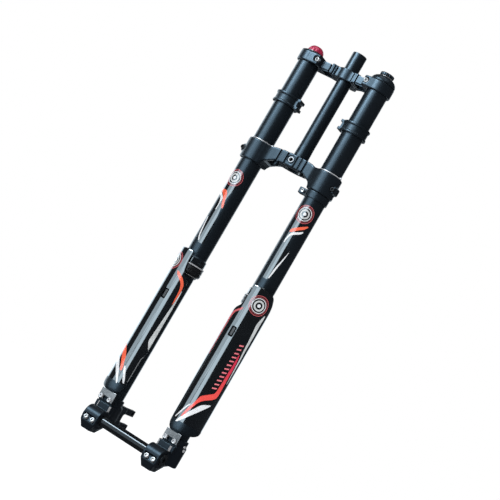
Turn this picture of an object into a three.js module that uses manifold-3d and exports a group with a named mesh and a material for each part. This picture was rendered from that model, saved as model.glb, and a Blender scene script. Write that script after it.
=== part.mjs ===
// Dual-crown, upside-down suspension fork for a downhill bicycle.
// Millimetres. +Z runs up the steerer, -Y points forwards, +X towards the leg with the notched black knob.
// The origin is on the steerer axis at the crown-race seat, the top face of the lower crown.
import * as THREE from "three";
import { mergeVertices } from "three/addons/utils/BufferGeometryUtils.js";
import Module from "manifold-3d";

const wasm = await Module();
wasm.setup();

// ---------------------------------------------------------------- driving dimensions
const GAP = 0.3; // clearance kept between pieces that touch
const LEG_X = 76.6; // half the leg spacing
const LEG_Y = -15; // legs sit 15 ahead of the steerer
const AXLE_Y = -48; // total rake
const AXLE_Z = -591; // axle centre below the crown-race seat
const AXLE_R = 10; // 20 mm through axle
const HUB_HALF = 55; // 110 mm hub

const STEERER_R = 14.3; // 1-1/8 inch
const STEERER_BORE_R = 12.0;
const RACE_SEAT_R = 15.0;
const RACE_SEAT_H = 11;
const STEERER_TOP = 226;
const STEERER_BOTTOM = -24;

const TUBE_R = 21; // upper (outer) tube
const TUBE_BORE_R = 19.4;
const TUBE_TOP = 186.5;
const SEAL_HEAD_R = 23.2;
const SEAL_HEAD_TOP = -250;
const TUBE_BOTTOM = -267.6;

const STAN_R = 18; // 36 mm inner tube
const STAN_BORE_R = 16;
const STAN_TOP = -58;
const STAN_BOTTOM = -588;

const CROWN_TOP_Z0 = 167; // upper crown, bottom and top faces
const CROWN_TOP_Z1 = 187;
const TOP_CLAMP_R = 25;
const LOWER_CLAMP_R = 26;
const LOWER_CLAMP_TOP = -5;
const LOWER_CLAMP_BOTTOM = -46;
const LOWER_MID_BOTTOM = -24.5;

const STOP_Z0 = 77; // frame bump stops
const STOP_Z1 = 97.5;

const GUARD_R = 31.0; // stanchion guard, outside radius and wall
const GUARD_T = 2.6;
const GUARD_TOP = -244;
const GUARD_BOTTOM = -537;

const LUG_R = 23.6; // axle lug's leg socket
const LUG_TOP = -546;
const LUG_FLOOR = -597;
const LUG_IN = 55; // inner and outer faces of the axle clamp
const LUG_OUT = 88;
const LUG_BASE = -618.5;
const BARREL_R = 18;

const SPRING_TOP = 60; // coil spring in the right leg
const SPRING_BOTTOM = -350;
const SPRING_MEAN_R = 11.6;
const SPRING_WIRE_R = 2.2;
const SPRING_TURNS = 13;

const ROD_R = 6; // damper rod in the left leg
const CART_R = 13;
const CART_BORE_R = 11.5;
const CART_TOP = -330;
const CART_BOTTOM = -586;

// ---------------------------------------------------------------- shape helpers
const V2 = (x, y) => new THREE.Vector2(x, y);
const rad = (d) => (d * Math.PI) / 180;

// position-only geometry with shared vertices
function bare(g) {
  const h = new THREE.BufferGeometry();
  h.setAttribute("position", g.getAttribute("position"));
  if (g.index) h.setIndex(g.index);
  return mergeVertices(h, 1e-4);
}
function signedVolume(g) {
  const p = g.attributes.position, ix = g.index;
  let v = 0;
  const a = new THREE.Vector3(), b = new THREE.Vector3(), c = new THREE.Vector3();
  for (let i = 0; i < ix.count; i += 3) {
    a.fromBufferAttribute(p, ix.getX(i));
    b.fromBufferAttribute(p, ix.getX(i + 1));
    c.fromBufferAttribute(p, ix.getX(i + 2));
    v += a.dot(b.cross(c)) / 6;
  }
  return v;
}
// closed geometry facing out, without collapsed triangles
function closed(g0) {
  const g = bare(g0), ix = g.index, keep = [];
  for (let i = 0; i < ix.count; i += 3) {
    const a = ix.getX(i), b = ix.getX(i + 1), c = ix.getX(i + 2);
    if (a !== b && b !== c && a !== c) keep.push(a, b, c);
  }
  g.setIndex(keep);
  if (signedVolume(g) < 0) {
    for (let i = 0; i < keep.length; i += 3) [keep[i + 1], keep[i + 2]] = [keep[i + 2], keep[i + 1]];
    g.setIndex(keep);
  }
  return g;
}
function solid(g0) {
  const g = closed(g0);
  return new wasm.Manifold(
    new wasm.Mesh({
      numProp: 3,
      vertProperties: new Float32Array(g.attributes.position.array),
      triVerts: new Uint32Array(g.index.array),
    }),
  );
}
function geometry(s) {
  const m = s.getMesh(), g = new THREE.BufferGeometry(), n = m.numProp;
  const v = new Float32Array(m.numVert * 3);
  for (let i = 0; i < m.numVert; i++) v.set(m.vertProperties.subarray(i * n, i * n + 3), i * 3);
  g.setAttribute("position", new THREE.BufferAttribute(v, 3));
  g.setIndex(new THREE.BufferAttribute(new Uint32Array(m.triVerts), 1));
  return g;
}
const join = (...p) => p.map((g) => (g.isBufferGeometry ? solid(g) : g)).reduce((a, b) => a.add(b));
const cut = (a, ...tools) => [a, ...tools].map((g) => (g.isBufferGeometry ? solid(g) : g)).reduce((x, y) => x.subtract(y));
const common = (...p) => p.map((g) => (g.isBufferGeometry ? solid(g) : g)).reduce((a, b) => a.intersect(b));

// closed profile [[r, z], ...] turned about the vertical line through (cx, cy)
function turned(profile, cx = 0, cy = 0, seg = 24) {
  const pts = profile.map(([r, z]) => V2(r, z));
  if (profile[0][0] > 0 || profile[profile.length - 1][0] > 0) pts.push(pts[0].clone());
  return new THREE.LatheGeometry(pts, seg).rotateX(Math.PI / 2).translate(cx, cy, 0);
}
const ring = (ro, ri, z0, z1, cx, cy, seg = 24) => turned([[ri, z0], [ro, z0], [ro, z1], [ri, z1]], cx, cy, seg);
const rod = (r, z0, z1, cx, cy, seg = 24) =>
  new THREE.CylinderGeometry(r, r, z1 - z0, seg).rotateX(Math.PI / 2).translate(cx, cy, (z0 + z1) / 2);
// cylinder from point a to point b
function bar(r, a, b, seg = 24, r2 = r) {
  const A = new THREE.Vector3(...a), B = new THREE.Vector3(...b), d = B.clone().sub(A), L = d.length();
  const q = new THREE.Quaternion().setFromUnitVectors(new THREE.Vector3(0, 1, 0), d.normalize());
  return new THREE.CylinderGeometry(r2, r, L, seg).applyQuaternion(q).translate((A.x + B.x) / 2, (A.y + B.y) / 2, (A.z + B.z) / 2);
}
const box = (x0, x1, y0, y1, z0, z1) =>
  new THREE.BoxGeometry(x1 - x0, y1 - y0, z1 - z0).translate((x0 + x1) / 2, (y0 + y1) / 2, (z0 + z1) / 2);
const shape = (pts) => new THREE.Shape(pts.map(([x, y]) => V2(x, y)));
// outline in plan (x, y), raised from z0 to z1
const plan = (pts, z0, z1) => new THREE.ExtrudeGeometry(shape(pts), { depth: z1 - z0, bevelEnabled: false }).translate(0, 0, z0);
// outline seen from the front (x, z), running from y0 to y1
const front = (pts, y0, y1) =>
  new THREE.ExtrudeGeometry(shape(pts.map(([x, z]) => [x, -z])), { depth: y1 - y0, bevelEnabled: false })
    .rotateX(-Math.PI / 2).translate(0, y0, 0);
// outline seen from the side (y, z), running from x0 to x1
const side = (pts, x0, x1) =>
  new THREE.ExtrudeGeometry(shape(pts), { depth: x1 - x0, bevelEnabled: false })
    .applyMatrix4(new THREE.Matrix4().set(0, 0, 1, x0, 1, 0, 0, 0, 0, 1, 0, 0, 0, 0, 0, 1));
const arc = (cx, cy, r, a0, a1, n) =>
  Array.from({ length: n + 1 }, (_, i) => {
    const a = rad(a0 + ((a1 - a0) * i) / n);
    return [cx + r * Math.cos(a), cy + r * Math.sin(a)];
  });
const mirrorX = (pts) => pts.map(([x, y]) => [-x, y]).reverse();

// socket-head cap screw: head at `from`, shank towards `to`
function capScrew(rHead, hHead, rShank, from, to, hex = true) {
  const F = new THREE.Vector3(...from), T = new THREE.Vector3(...to), d = T.clone().sub(F).normalize();
  const h = F.clone().addScaledVector(d, hHead);
  let s = join(bar(rHead, F.toArray(), h.toArray(), 10), bar(rShank, F.clone().addScaledVector(d, hHead - 0.5).toArray(), to, 6));
  if (hex) s = cut(s, bar(rHead * 0.52, F.clone().addScaledVector(d, -1).toArray(), F.clone().addScaledVector(d, hHead * 0.6).toArray(), 6));
  return geometry(s);
}

// ---------------------------------------------------------------- materials and group
const group = new THREE.Group();
const finish = {
  anodised: [0x15181c, 0.38, 0.6],
  casting: [0x101215, 0.5, 0.4],
  gloss: [0x0a0b0d, 0.12, 0.0],
  steel: [0xc9ccd0, 0.28, 1.0],
  aluminium: [0x9a9ea3, 0.35, 1.0],
  rubber: [0x0b0b0c, 0.8, 0.0],
  red: [0xc82a52, 0.3, 0.8],
  bronze: [0x6b5a3a, 0.5, 0.6],
  black_steel: [0x17191b, 0.35, 0.8],
};
function add(name, g, f) {
  const [color, roughness, metalness] = finish[f];
  const geo = g.isBufferGeometry ? closed(g) : geometry(g);
  geo.computeVertexNormals();
  const mesh = new THREE.Mesh(geo, new THREE.MeshStandardMaterial({ color, roughness, metalness }));
  mesh.name = name;
  group.add(mesh);
}

// ---------------------------------------------------------------- steerer
add(
  "steerer_tube",
  turned([
    [STEERER_BORE_R, STEERER_BOTTOM], [STEERER_R, STEERER_BOTTOM], [STEERER_R + 0.55, STEERER_BOTTOM + 6],
    [RACE_SEAT_R, STEERER_BOTTOM + 8], [RACE_SEAT_R, RACE_SEAT_H], [STEERER_R, RACE_SEAT_H + 3],
    [STEERER_R, STEERER_TOP - 1], [STEERER_R - 0.8, STEERER_TOP], [STEERER_BORE_R, STEERER_TOP],
  ], 0, 0, 24),
  "anodised",
);

// ---------------------------------------------------------------- upper crown
{
  // plan outline, right half from the front centre round to the back centre
  const half = [
    [0, -18], [20.5, -18], [22, -17.2], [31, -19.5], [40, -28], [48, -37], [52, -39.6], [60, -40.6],
    ...arc(LEG_X, LEG_Y, TOP_CLAMP_R, -100, 120, 14),
    [52, 9.5], [34, 12], [22, 19.5], [13, 26.5], [12, 35], [0, 35],
  ];
  let s = solid(plan([...half, ...mirrorX(half)], CROWN_TOP_Z0, CROWN_TOP_Z1));
  // raised boss round the steerer
  s = s.add(solid(rod(21, CROWN_TOP_Z0, CROWN_TOP_Z1 + 1.2, 0, 0, 24)));
  const tools = [rod(STEERER_R + GAP, CROWN_TOP_Z0 - 2, CROWN_TOP_Z1 + 4, 0, 0, 24)];
  for (const k of [-1, 1]) {
    tools.push(rod(TUBE_R + GAP, CROWN_TOP_Z0 - 2, CROWN_TOP_Z1 + 2, k * LEG_X, LEG_Y, 24));
    // clamp slit on the inner side
    tools.push(box(...(k > 0 ? [44, 60] : [-60, -44]), LEG_Y - 0.9, LEG_Y + 0.9, CROWN_TOP_Z0 - 2, CROWN_TOP_Z1 + 2));
    // counterbore and bolt hole, leaning 14 degrees
    const t = Math.tan(rad(14)), p = (y) => [k * (54.6 - (y + 38) * t), y, 177.5];
    tools.push(bar(5.6, p(-50), p(-33.2), 14), bar(3.3, p(-36), p(6), 8));
    // lightening pocket in the underside of each arm
    const pocket = [[27, -12], [40, -22], [45, -22], [45, 4], [27, 8]];
    tools.push(plan(k > 0 ? pocket : mirrorX(pocket), CROWN_TOP_Z0 - 2, CROWN_TOP_Z0 + 9));
    // upright grooves beside the front face
    for (const [a, b] of [[22.6, 25.4], [28.2, 31.4]])
      tools.push(box(...(k > 0 ? [a, b] : [-b, -a]), -30, -14.5, CROWN_TOP_Z0 - 2, CROWN_TOP_Z1 + 2));
  }
  // steerer clamp slit at the back and its cross bolt
  tools.push(box(-0.9, 0.9, 10, 40, CROWN_TOP_Z0 - 2, CROWN_TOP_Z1 + 4));
  tools.push(bar(3.3, [-20, 29.5, 177], [20, 29.5, 177], 8));
  add("top_crown", cut(s, ...tools), "casting");
  for (const [k, side_] of [[-1, "left"], [1, "right"]]) {
    const t = Math.tan(rad(14)), p = (y) => [k * (54.6 - (y + 38) * t), y, 177.5];
    add("top_crown_" + side_ + "_bolt", capScrew(4.6, 4.6, 2.9, p(-38.3), p(2), true), "steel");
  }
  add("steerer_clamp_bolt", capScrew(4.6, 5, 2.9, [20.6, 29.5, 177], [-12, 29.5, 177]), "steel");
}

// ---------------------------------------------------------------- lower crown
{
  const half = [
    [0, -30.5], [8.5, -30.5], [10, -27.5], [19, -27], [36, -28.5], [50, -34.5], [60, -39.6],
    ...arc(LEG_X, LEG_Y, LOWER_CLAMP_R, -98, -28, 5),
    [105.4, -26], [106, -24], [106, -6], [105.4, -4],
    ...arc(LEG_X, LEG_Y, LOWER_CLAMP_R, 28, 115, 6),
    [54, 8], [40, 10], [28, 16], [18, 22.5], [0, 25.5],
  ];
  const under = [
    [0, 0], [24, 0], [40, -2], [50, LOWER_CLAMP_TOP], [LEG_X + 40, LOWER_CLAMP_TOP], [LEG_X + 40, LOWER_CLAMP_BOTTOM],
    [55, LOWER_CLAMP_BOTTOM], [53.5, -41], [50, -35.5], [39, -28.8], [30.5, LOWER_MID_BOTTOM], [0, LOWER_MID_BOTTOM],
  ];
  let s = common(
    plan([...half, ...mirrorX(half)], -60, 10),
    front([...under.slice(1, -1), ...mirrorX(under.slice(1, -1))], -60, 60),
  );
  const tools = [rod(RACE_SEAT_R + GAP, -60, 10, 0, 0, 24)];
  for (const k of [-1, 1]) {
    tools.push(rod(TUBE_R + GAP, -60, 10, k * LEG_X, LEG_Y, 24));
    // the ear stands only round the bolt: trim the casting above and below it
    const ear = (z0, z1) => cut(box(...(k > 0 ? [90, 112] : [-112, -90]), -46, 20, z0, z1), rod(LOWER_CLAMP_R, z0 - 1, z1 + 1, k * LEG_X, LEG_Y, 24));
    tools.push(ear(-20.5, 6), ear(-50, -36.5));
    // slit and bolt hole
    tools.push(box(...(k > 0 ? [92, 112] : [-112, -92]), LEG_Y - 0.9, LEG_Y + 0.9, -60, 6));
    tools.push(bar(2.8, [k * 101.4, -40, -28.5], [k * 101.4, 10, -28.5], 8), bar(4.8, [k * 101.4, -45, -28.5], [k * 101.4, -25.8, -28.5], 14));
    // pockets under the arms
    const pocket = [[27, -18], [45, -24], [45, 2], [30, 4]];
    tools.push(plan(k > 0 ? pocket : mirrorX(pocket), -60, -14));
    // upright grooves on the front
    for (const [a, b] of [[12.2, 16.2], [21.5, 25.6], [31.4, 34.2]])
      tools.push(box(...(k > 0 ? [a, b] : [-b, -a]), -40, -22.8, -60, 10));
  }
  tools.push(bar(3.2, [0, -40, -12], [0, -18.5, -12], 12)); // accessory thread
  tools.push(rod(2.9, -60, -12, 24, -16.5, 8)); // stop-screw hole
  add("lower_crown", cut(s, ...tools), "casting");
  for (const [k, side_] of [[-1, "left"], [1, "right"]])
    add("lower_crown_" + side_ + "_bolt", capScrew(4.3, 4.2, 2.45, [k * 101.4, -30.4, -28.5], [k * 101.4, -5.5, -28.5]), "black_steel");
  add("crown_stop_screw", capScrew(5.4, 5.4, 2.6, [24, -16.5, LOWER_MID_BOTTOM - 5.8], [24, -16.5, -13]), "black_steel");
}

// ---------------------------------------------------------------- the two legs
for (const [k, leg] of [[-1, "left"], [1, "right"]]) {
  const X = k * LEG_X, Y = LEG_Y;

  // upper tube with its seal head
  add(
    leg + "_upper_tube",
    turned([
      [TUBE_BORE_R, TUBE_BOTTOM], [SEAL_HEAD_R, TUBE_BOTTOM], [SEAL_HEAD_R, SEAL_HEAD_TOP - 1.5], [TUBE_R, SEAL_HEAD_TOP],
      [TUBE_R, TUBE_TOP], [TUBE_BORE_R, TUBE_TOP],
    ], X, Y, 24),
    "anodised",
  );
  // frame bump stop: an I-section band with a buffer block towards the frame
  {
    let s = solid(turned([
      [TUBE_R + GAP, STOP_Z0], [25.6, STOP_Z0], [25.6, STOP_Z0 + 3.6], [23.9, STOP_Z0 + 5], [23.9, STOP_Z1 - 5],
      [25.6, STOP_Z1 - 3.6], [25.6, STOP_Z1], [TUBE_R + GAP, STOP_Z1],
    ], X, Y, 20));
    const blk = [[-31, STOP_Z0], [-31, STOP_Z0 + 4.5], [-27.6, STOP_Z0 + 7], [-27.6, STOP_Z1 - 7], [-31, STOP_Z1 - 4.5], [-31, STOP_Z1], [-20, STOP_Z1], [-20, STOP_Z0]];
    const pts = blk.map(([x, z]) => [X + k * x, z]);
    s = s.add(cut(front(k > 0 ? pts : pts.reverse(), Y - 10, Y + 12), rod(TUBE_R + GAP, 60, 120, X, Y, 20)));
    add(leg + "_bump_stop", s, "rubber");
  }
  // locating snap ring on top of the lower crown
  {
    const s = cut(
      ring(22.9, TUBE_R + GAP, LOWER_CLAMP_TOP + GAP, LOWER_CLAMP_TOP + 2.1, X, Y, 24),
      box(X + 8, X + 12.5, Y - 26, Y - 15, -8, 2),
    );
    add(leg + "_locating_ring", s, "steel");
  }
  // dust wiper, its steel ring, oil seal and bushings
  add(
    leg + "_dust_wiper",
    turned([
      [STAN_R + GAP, -288.5], [20.2, -288.5], [25.4, -282.5], [25.4, TUBE_BOTTOM - GAP], [STAN_R + GAP, TUBE_BOTTOM - GAP],
    ], X, Y, 24),
    "rubber",
  );
  add(leg + "_wiper_ring", ring(25.8, SEAL_HEAD_R + GAP, TUBE_BOTTOM, TUBE_BOTTOM + 2.6, X, Y, 24), "steel");
  add(
    leg + "_oil_seal",
    turned([[STAN_R + GAP, -266], [TUBE_BORE_R - GAP, -266], [TUBE_BORE_R - GAP, -257], [STAN_R + 1, -257]], X, Y, 16),
    "rubber",
  );
  add(leg + "_lower_bushing", ring(TUBE_BORE_R - GAP, STAN_R + GAP, -250, -224, X, Y, 24), "bronze");
  add(leg + "_upper_bushing", ring(TUBE_BORE_R - GAP, STAN_R + GAP, STAN_TOP - 22, STAN_TOP - 4, X, Y, 24), "bronze");
  // inner tube
  add(
    leg + "_stanchion",
    turned([
      [STAN_BORE_R, STAN_BOTTOM], [STAN_R, STAN_BOTTOM], [STAN_R, STAN_TOP - 1.2], [STAN_R - 0.8, STAN_TOP], [STAN_BORE_R, STAN_TOP],
    ], X, Y, 24),
    "anodised",
  );

  // axle lug: leg socket, axle clamp, bolt pad and, on the left, two brake ears
  {
    const sx = (a, b) => (k > 0 ? [a, b] : [-b, -a]);
    let s = join(
      turned([[0, LUG_FLOOR], [22.5, LUG_FLOOR], [LUG_R, LUG_FLOOR + 2], [LUG_R, -558], [21.6, -556], [21.6, LUG_TOP], [0, LUG_TOP]], X, Y, 24),
      bar(BARREL_R, [k * LUG_IN, AXLE_Y, AXLE_Z], [k * LUG_OUT, AXLE_Y, AXLE_Z], 24),
    );
    // web between the socket and the axle clamp, down to the base
    const web = common(
      side([[-66, -592], [-66, -604.5], [-60, LUG_BASE], [-38, LUG_BASE], [-30, -603], [-2, LUG_FLOOR + 1], [-2, -560], [-36, -566], [-48, -573]], -120, 120),
      front([[k * LUG_IN, -555], [k * LUG_IN, -604], [k * 62, LUG_BASE], [k * 81.5, LUG_BASE], [k * LUG_OUT, -603.5], [k * LUG_OUT, -555]], -80, 20),
    );
    s = s.add(web);
    // front block and bracket pad
    const b0 = 55.6, b1 = 88.6;
    s = s.add(solid(plan(((p) => (k > 0 ? p : mirrorX(p)))([[b0, -10], [b0, -37], [b0 + 5, -42], [b1 - 5, -42], [b1, -37], [b1, -10]]), -574.6, -562)));
    s = s.add(solid(box(X - 16, X + 16, -39, -15, -574, -547.5)));
    if (k < 0) {
      // ears standing back for the brake caliper
      s = s.add(solid(box(-68, -59.5, 0, 56, -566, -554)));
      s = s.add(solid(box(-68, -59.5, 0, 56, -599, -583)));
      s = s.add(solid(plan([[-68, -2], [-59.5, -2], [-59.5, 20], [-64, 14], [-68, 14]].reverse(), -599, -554)));
    }
    const tools = [
      rod(STAN_R + GAP, STAN_BOTTOM - GAP, -500, X, Y, 24),
      rod(4.3, -630, -580, X, Y, 10),
      rod(7.2, -630, LUG_FLOOR + 3, X, Y, 14),
      bar(AXLE_R + 0.25, [k * 40, AXLE_Y, AXLE_Z], [k * 100, AXLE_Y, AXLE_Z], 24),
      // clamp slit below the axle
      box(...sx(50, 92), AXLE_Y - 0.9, AXLE_Y + 0.9, -630, AXLE_Z - 4),
      // trough for the pinch bolt heads
      side([[-72.9, -587.2], [-59.7, -594.2], [-64.6, -603.4], [-77.7, -596.4]], ...sx(58.9, 84.5)),
      box(...sx(30, 54.3), -60, 20, -620, -540),
    ];
    // bracket bolts and pinch bolts
    for (const dx of [-9.7, 9.7]) tools.push(bar(2.6, [X + dx, -45, -553.7], [X + dx, -32, -553.7], 8));
    for (const bx of [64.2, 79.2]) tools.push(bar(3.1, [k * bx, -70, -594.6], [k * bx, -70 + 42 * Math.cos(rad(28)), -594.6 - 42 * Math.sin(rad(28))], 8));
    if (k < 0) {
      tools.push(bar(3.2, [-80, 48, -560], [-50, 48, -560], 10));
      tools.push(bar(3.2, [-80, 48, -591], [-50, 48, -591], 10));
    }
    add(leg + "_axle_lug", cut(s, ...tools), "casting");
    for (const [i, bx] of [[1, 64.2], [2, 79.2]]) {
      const p = (t) => [k * bx, -70 + t * Math.cos(rad(28)), -594.6 - t * Math.sin(rad(28))];
      add(leg + "_pinch_bolt_" + i, capScrew(4.7, 4.3, 2.75, p(4.3), p(33)), "steel");
    }
    for (const [i, dx] of [[1, -9.7], [2, 9.7]])
      add(leg + "_bracket_bolt_" + i, capScrew(4.2, 3, 2.3, [X + dx, -45, -553.7], [X + dx, -32.4, -553.7]), "steel");
    add(leg + "_foot_bolt", capScrew(6.6, 5, 3.9, [X, Y, LUG_FLOOR - 2.4], [X, Y, STAN_BOTTOM + 9]), "black_steel");
  }
  // guard bracket: flat plate with a forked foot and a tongue behind the guard
  {
    const p = [
      [-16, -561.5], [-4.2, -561.5], [-4.2, -550.5], [4.2, -550.5], [4.2, -561.5], [16, -561.5], [16, -538.2], [8, -538.2], [8, -522], [-8, -522], [-8, -538.2], [-16, -538.2],
    ].map(([x, z]) => [X + x, z]);
    const tools = [-9.7, 9.7].map((dx) => bar(2.6, [X + dx, -45, -553.7], [X + dx, -30, -553.7], 8));
    add(leg + "_guard_bracket", cut(front(p, -41.7, -39.3), ...tools), "aluminium");
  }
  // stanchion guard: a shell over the front and the outer side of the leg
  {
    const ro = GUARD_R, ri = GUARD_R - GUARD_T;
    // edges as polar angle on the right leg (mirrored on the left): inner edge and outer edge against height
    const rows = [
      [GUARD_TOP, -101, -62], [-247, -101, -25], [-259, -101, -3], [-275, -104, 14], [-287, -110, 24], [-294, -124, 30], [-304, -138, 35],
      [-450, -139, 36], [-466, -134, 36], [-512, -133, 35], [-524, -130, 27], [-532, -122, 8], [GUARD_BOTTOM, -112, -40],
    ];
    const N = 11, pos = [], idx = [];
    const at = (r, a, z) => pos.push(X + k * r * Math.cos(rad(a)), Y + r * Math.sin(rad(a)), z) / 3 - 1;
    const grid = [ro, ri].map((r, s) => rows.map(([z, a0, a1]) => Array.from({ length: N + 1 }, (_, i) => at(r, a0 + ((a1 - a0) * i) / N, z))));
    const quad = (a, b, c, d) => idx.push(a, b, c, a, c, d);
    const [O, I] = grid, M = rows.length - 1;
    for (let j = 0; j < M; j++)
      for (let i = 0; i < N; i++) {
        quad(O[j][i], O[j + 1][i], O[j + 1][i + 1], O[j][i + 1]);
        quad(I[j][i], I[j][i + 1], I[j + 1][i + 1], I[j + 1][i]);
      }
    for (let i = 0; i < N; i++) {
      quad(O[0][i], O[0][i + 1], I[0][i + 1], I[0][i]);
      quad(O[M][i], I[M][i], I[M][i + 1], O[M][i + 1]);
    }
    for (let j = 0; j < M; j++) {
      quad(O[j][0], I[j][0], I[j + 1][0], O[j + 1][0]);
      quad(O[j][N], O[j + 1][N], I[j + 1][N], I[j][N]);
    }
    const g = new THREE.BufferGeometry();
    g.setAttribute("position", new THREE.BufferAttribute(new Float32Array(pos), 3));
    g.setIndex(idx);
    // inner pad that the bracket's tongue is riveted to
    const pad = box(X - 8, X + 8, -44.4, -42, -536, -523);
    // vent window on the front
    const a = rad(-87), wx = X + k * GUARD_R * Math.cos(a);
    add(leg + "_guard", cut(join(g, pad), box(wx - 2.6, wx + 2.6, -60, -35, -345.5, -327.5)), "gloss");
  }
}

// ---------------------------------------------------------------- hose clamp on the right upper tube
{
  const X = LEG_X, Y = LEG_Y;
  let s = join(ring(23.4, TUBE_R + GAP, -60, -46.4, X, Y, 20), cut(box(39.6, 56, Y - 7, Y + 6, -58.6, -46.6), rod(TUBE_R + GAP, -70, -40, X, Y, 20)));
  s = cut(s, bar(2.3, [48.5, -40, -52.4], [48.5, 0, -52.4], 8), box(38, 58, Y - 0.7, Y + 0.7, -62, -45));
  add("hose_clamp", s, "rubber");
  add("hose_clamp_bolt", capScrew(3.6, 3, 1.95, [48.5, Y - 10.3, -52.4], [48.5, Y + 4, -52.4]), "steel");
}

// ---------------------------------------------------------------- leg tops and adjusters
// left: low cap and domed rebound knob with its adjuster rod
add(
  "left_top_cap",
  turned([
    [4.5, 160], [TUBE_BORE_R - GAP, 160], [TUBE_BORE_R - GAP, TUBE_TOP + GAP], [24.4, TUBE_TOP + 0.9], [24.4, 188.2], [19, 190.4], [4.5, 190.4],
  ], -LEG_X, LEG_Y, 24),
  "casting",
);
{
  const knob = turned([[0, 190.8], [16.2, 190.8], [16.4, 192.6], [14.8, 194], [14, 197.4], [10.8, 202.6], [7.4, 205.4], [5.6, 206], [0, 206]], 0, 0, 10)
    .rotateZ(0.15).translate(-LEG_X, LEG_Y, 0);
  add("rebound_knob", knob, "red");
}
// right: domed cap and notched preload knob
add(
  "right_top_cap",
  turned([
    [5, 160], [TUBE_BORE_R - GAP, 160], [TUBE_BORE_R - GAP, TUBE_TOP + GAP], [24.4, TUBE_TOP + 0.9], [24.4, 190.5], [22.4, 194.6], [19.4, 197.8], [16.4, 199.8], [11.5, 201], [5, 201],
  ], LEG_X, LEG_Y, 24),
  "casting",
);
{
  let s = join(rod(4.4, 150, 203, LEG_X, LEG_Y, 16), rod(9.2, 201.3, 203.4, LEG_X, LEG_Y, 20), rod(13.7, 203, 208.4, LEG_X, LEG_Y, 24));
  const notches = Array.from({ length: 12 }, (_, i) => {
    const a = (i * Math.PI) / 6 + 0.1;
    return rod(1.7, 202.5, 209, LEG_X + 14.1 * Math.cos(a), LEG_Y + 14.1 * Math.sin(a), 6);
  });
  add("preload_knob", cut(s, ...notches), "casting");
}

// ---------------------------------------------------------------- damper in the left leg
{
  const X = -LEG_X, Y = LEG_Y;
  add("damper_rod", ring(ROD_R, 3.6, -348, 159.7, X, Y, 12), "steel");
  add("rebound_adjuster_rod", turned([[0, -352], [2.9, -352], [2.9, 190.5], [0, 190.5]], X, Y, 10), "aluminium");
  add("damper_piston", turned([[3.4, -362.5], [CART_BORE_R - GAP, -362.5], [CART_BORE_R - GAP, -352.5], [8, -348.3], [3.4, -348.3]], X, Y, 12), "bronze");
  add(
    "damper_cartridge",
    turned([[4.8, CART_BOTTOM], [CART_R, CART_BOTTOM], [CART_R, CART_TOP], [CART_BORE_R, CART_TOP], [CART_BORE_R, CART_BOTTOM + 6], [4.8, CART_BOTTOM + 6]], X, Y, 12),
    "aluminium",
  );
  add("cartridge_head", turned([[ROD_R + GAP, CART_TOP - 6], [CART_BORE_R - GAP, CART_TOP - 6], [CART_BORE_R - GAP, CART_TOP + GAP], [CART_R + 0.8, CART_TOP + GAP], [CART_R + 0.8, CART_TOP + 8], [ROD_R + GAP, CART_TOP + 10]], X, Y, 12), "aluminium");
  add("topout_bumper", ring(10.6, ROD_R + GAP, CART_TOP - 14, CART_TOP - 6 - GAP, X, Y, 12), "rubber");
}

// ---------------------------------------------------------------- spring in the right leg
{
  const X = LEG_X, Y = LEG_Y;
  class Helix extends THREE.Curve {
    getPoint(t, v = new THREE.Vector3()) {
      const a = t * SPRING_TURNS * 2 * Math.PI;
      return v.set(X + SPRING_MEAN_R * Math.cos(a), Y + SPRING_MEAN_R * Math.sin(a), SPRING_BOTTOM + SPRING_WIRE_R + GAP + t * (SPRING_TOP - SPRING_BOTTOM - 2 * SPRING_WIRE_R - 2 * GAP));
    }
  }
  const wire = new THREE.Shape(arc(0, 0, SPRING_WIRE_R, 0, 288, 4).map(([x, y]) => V2(x, y)));
  add("main_spring", new THREE.ExtrudeGeometry(wire, { steps: SPRING_TURNS * 7, extrudePath: new Helix(), bevelEnabled: false }), "steel");
  add(
    "preload_spacer",
    turned([[8, SPRING_TOP], [14.2, SPRING_TOP], [14.2, SPRING_TOP + 3], [13, SPRING_TOP + 4], [13, 149.5], [0, 149.5], [0, 146], [8, 146]], X, Y, 12),
    "aluminium",
  );
  add(
    "spring_support",
    turned([[5, STAN_BOTTOM + 2], [14, STAN_BOTTOM + 2], [14, SPRING_BOTTOM - 0], [8.4, SPRING_BOTTOM - 0], [8.4, SPRING_BOTTOM - 4], [12, SPRING_BOTTOM - 6], [12, STAN_BOTTOM + 8], [5, STAN_BOTTOM + 8]], X, Y, 12),
    "aluminium",
  );
}

// ---------------------------------------------------------------- through axle
{
  const s = cut(
    join(bar(AXLE_R, [-86.5, AXLE_Y, AXLE_Z], [87.6, AXLE_Y, AXLE_Z], 24), bar(11.5, [LUG_OUT + GAP, AXLE_Y, AXLE_Z], [91, AXLE_Y, AXLE_Z], 20), bar(AXLE_R, [87, AXLE_Y, AXLE_Z], [89, AXLE_Y, AXLE_Z], 24)),
    bar(7, [-90, AXLE_Y, AXLE_Z], [80, AXLE_Y, AXLE_Z], 24),
    bar(4.6, [79, AXLE_Y, AXLE_Z], [95, AXLE_Y, AXLE_Z], 6),
  );
  add("thru_axle", s, "anodised");
}

export default group;
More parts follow.
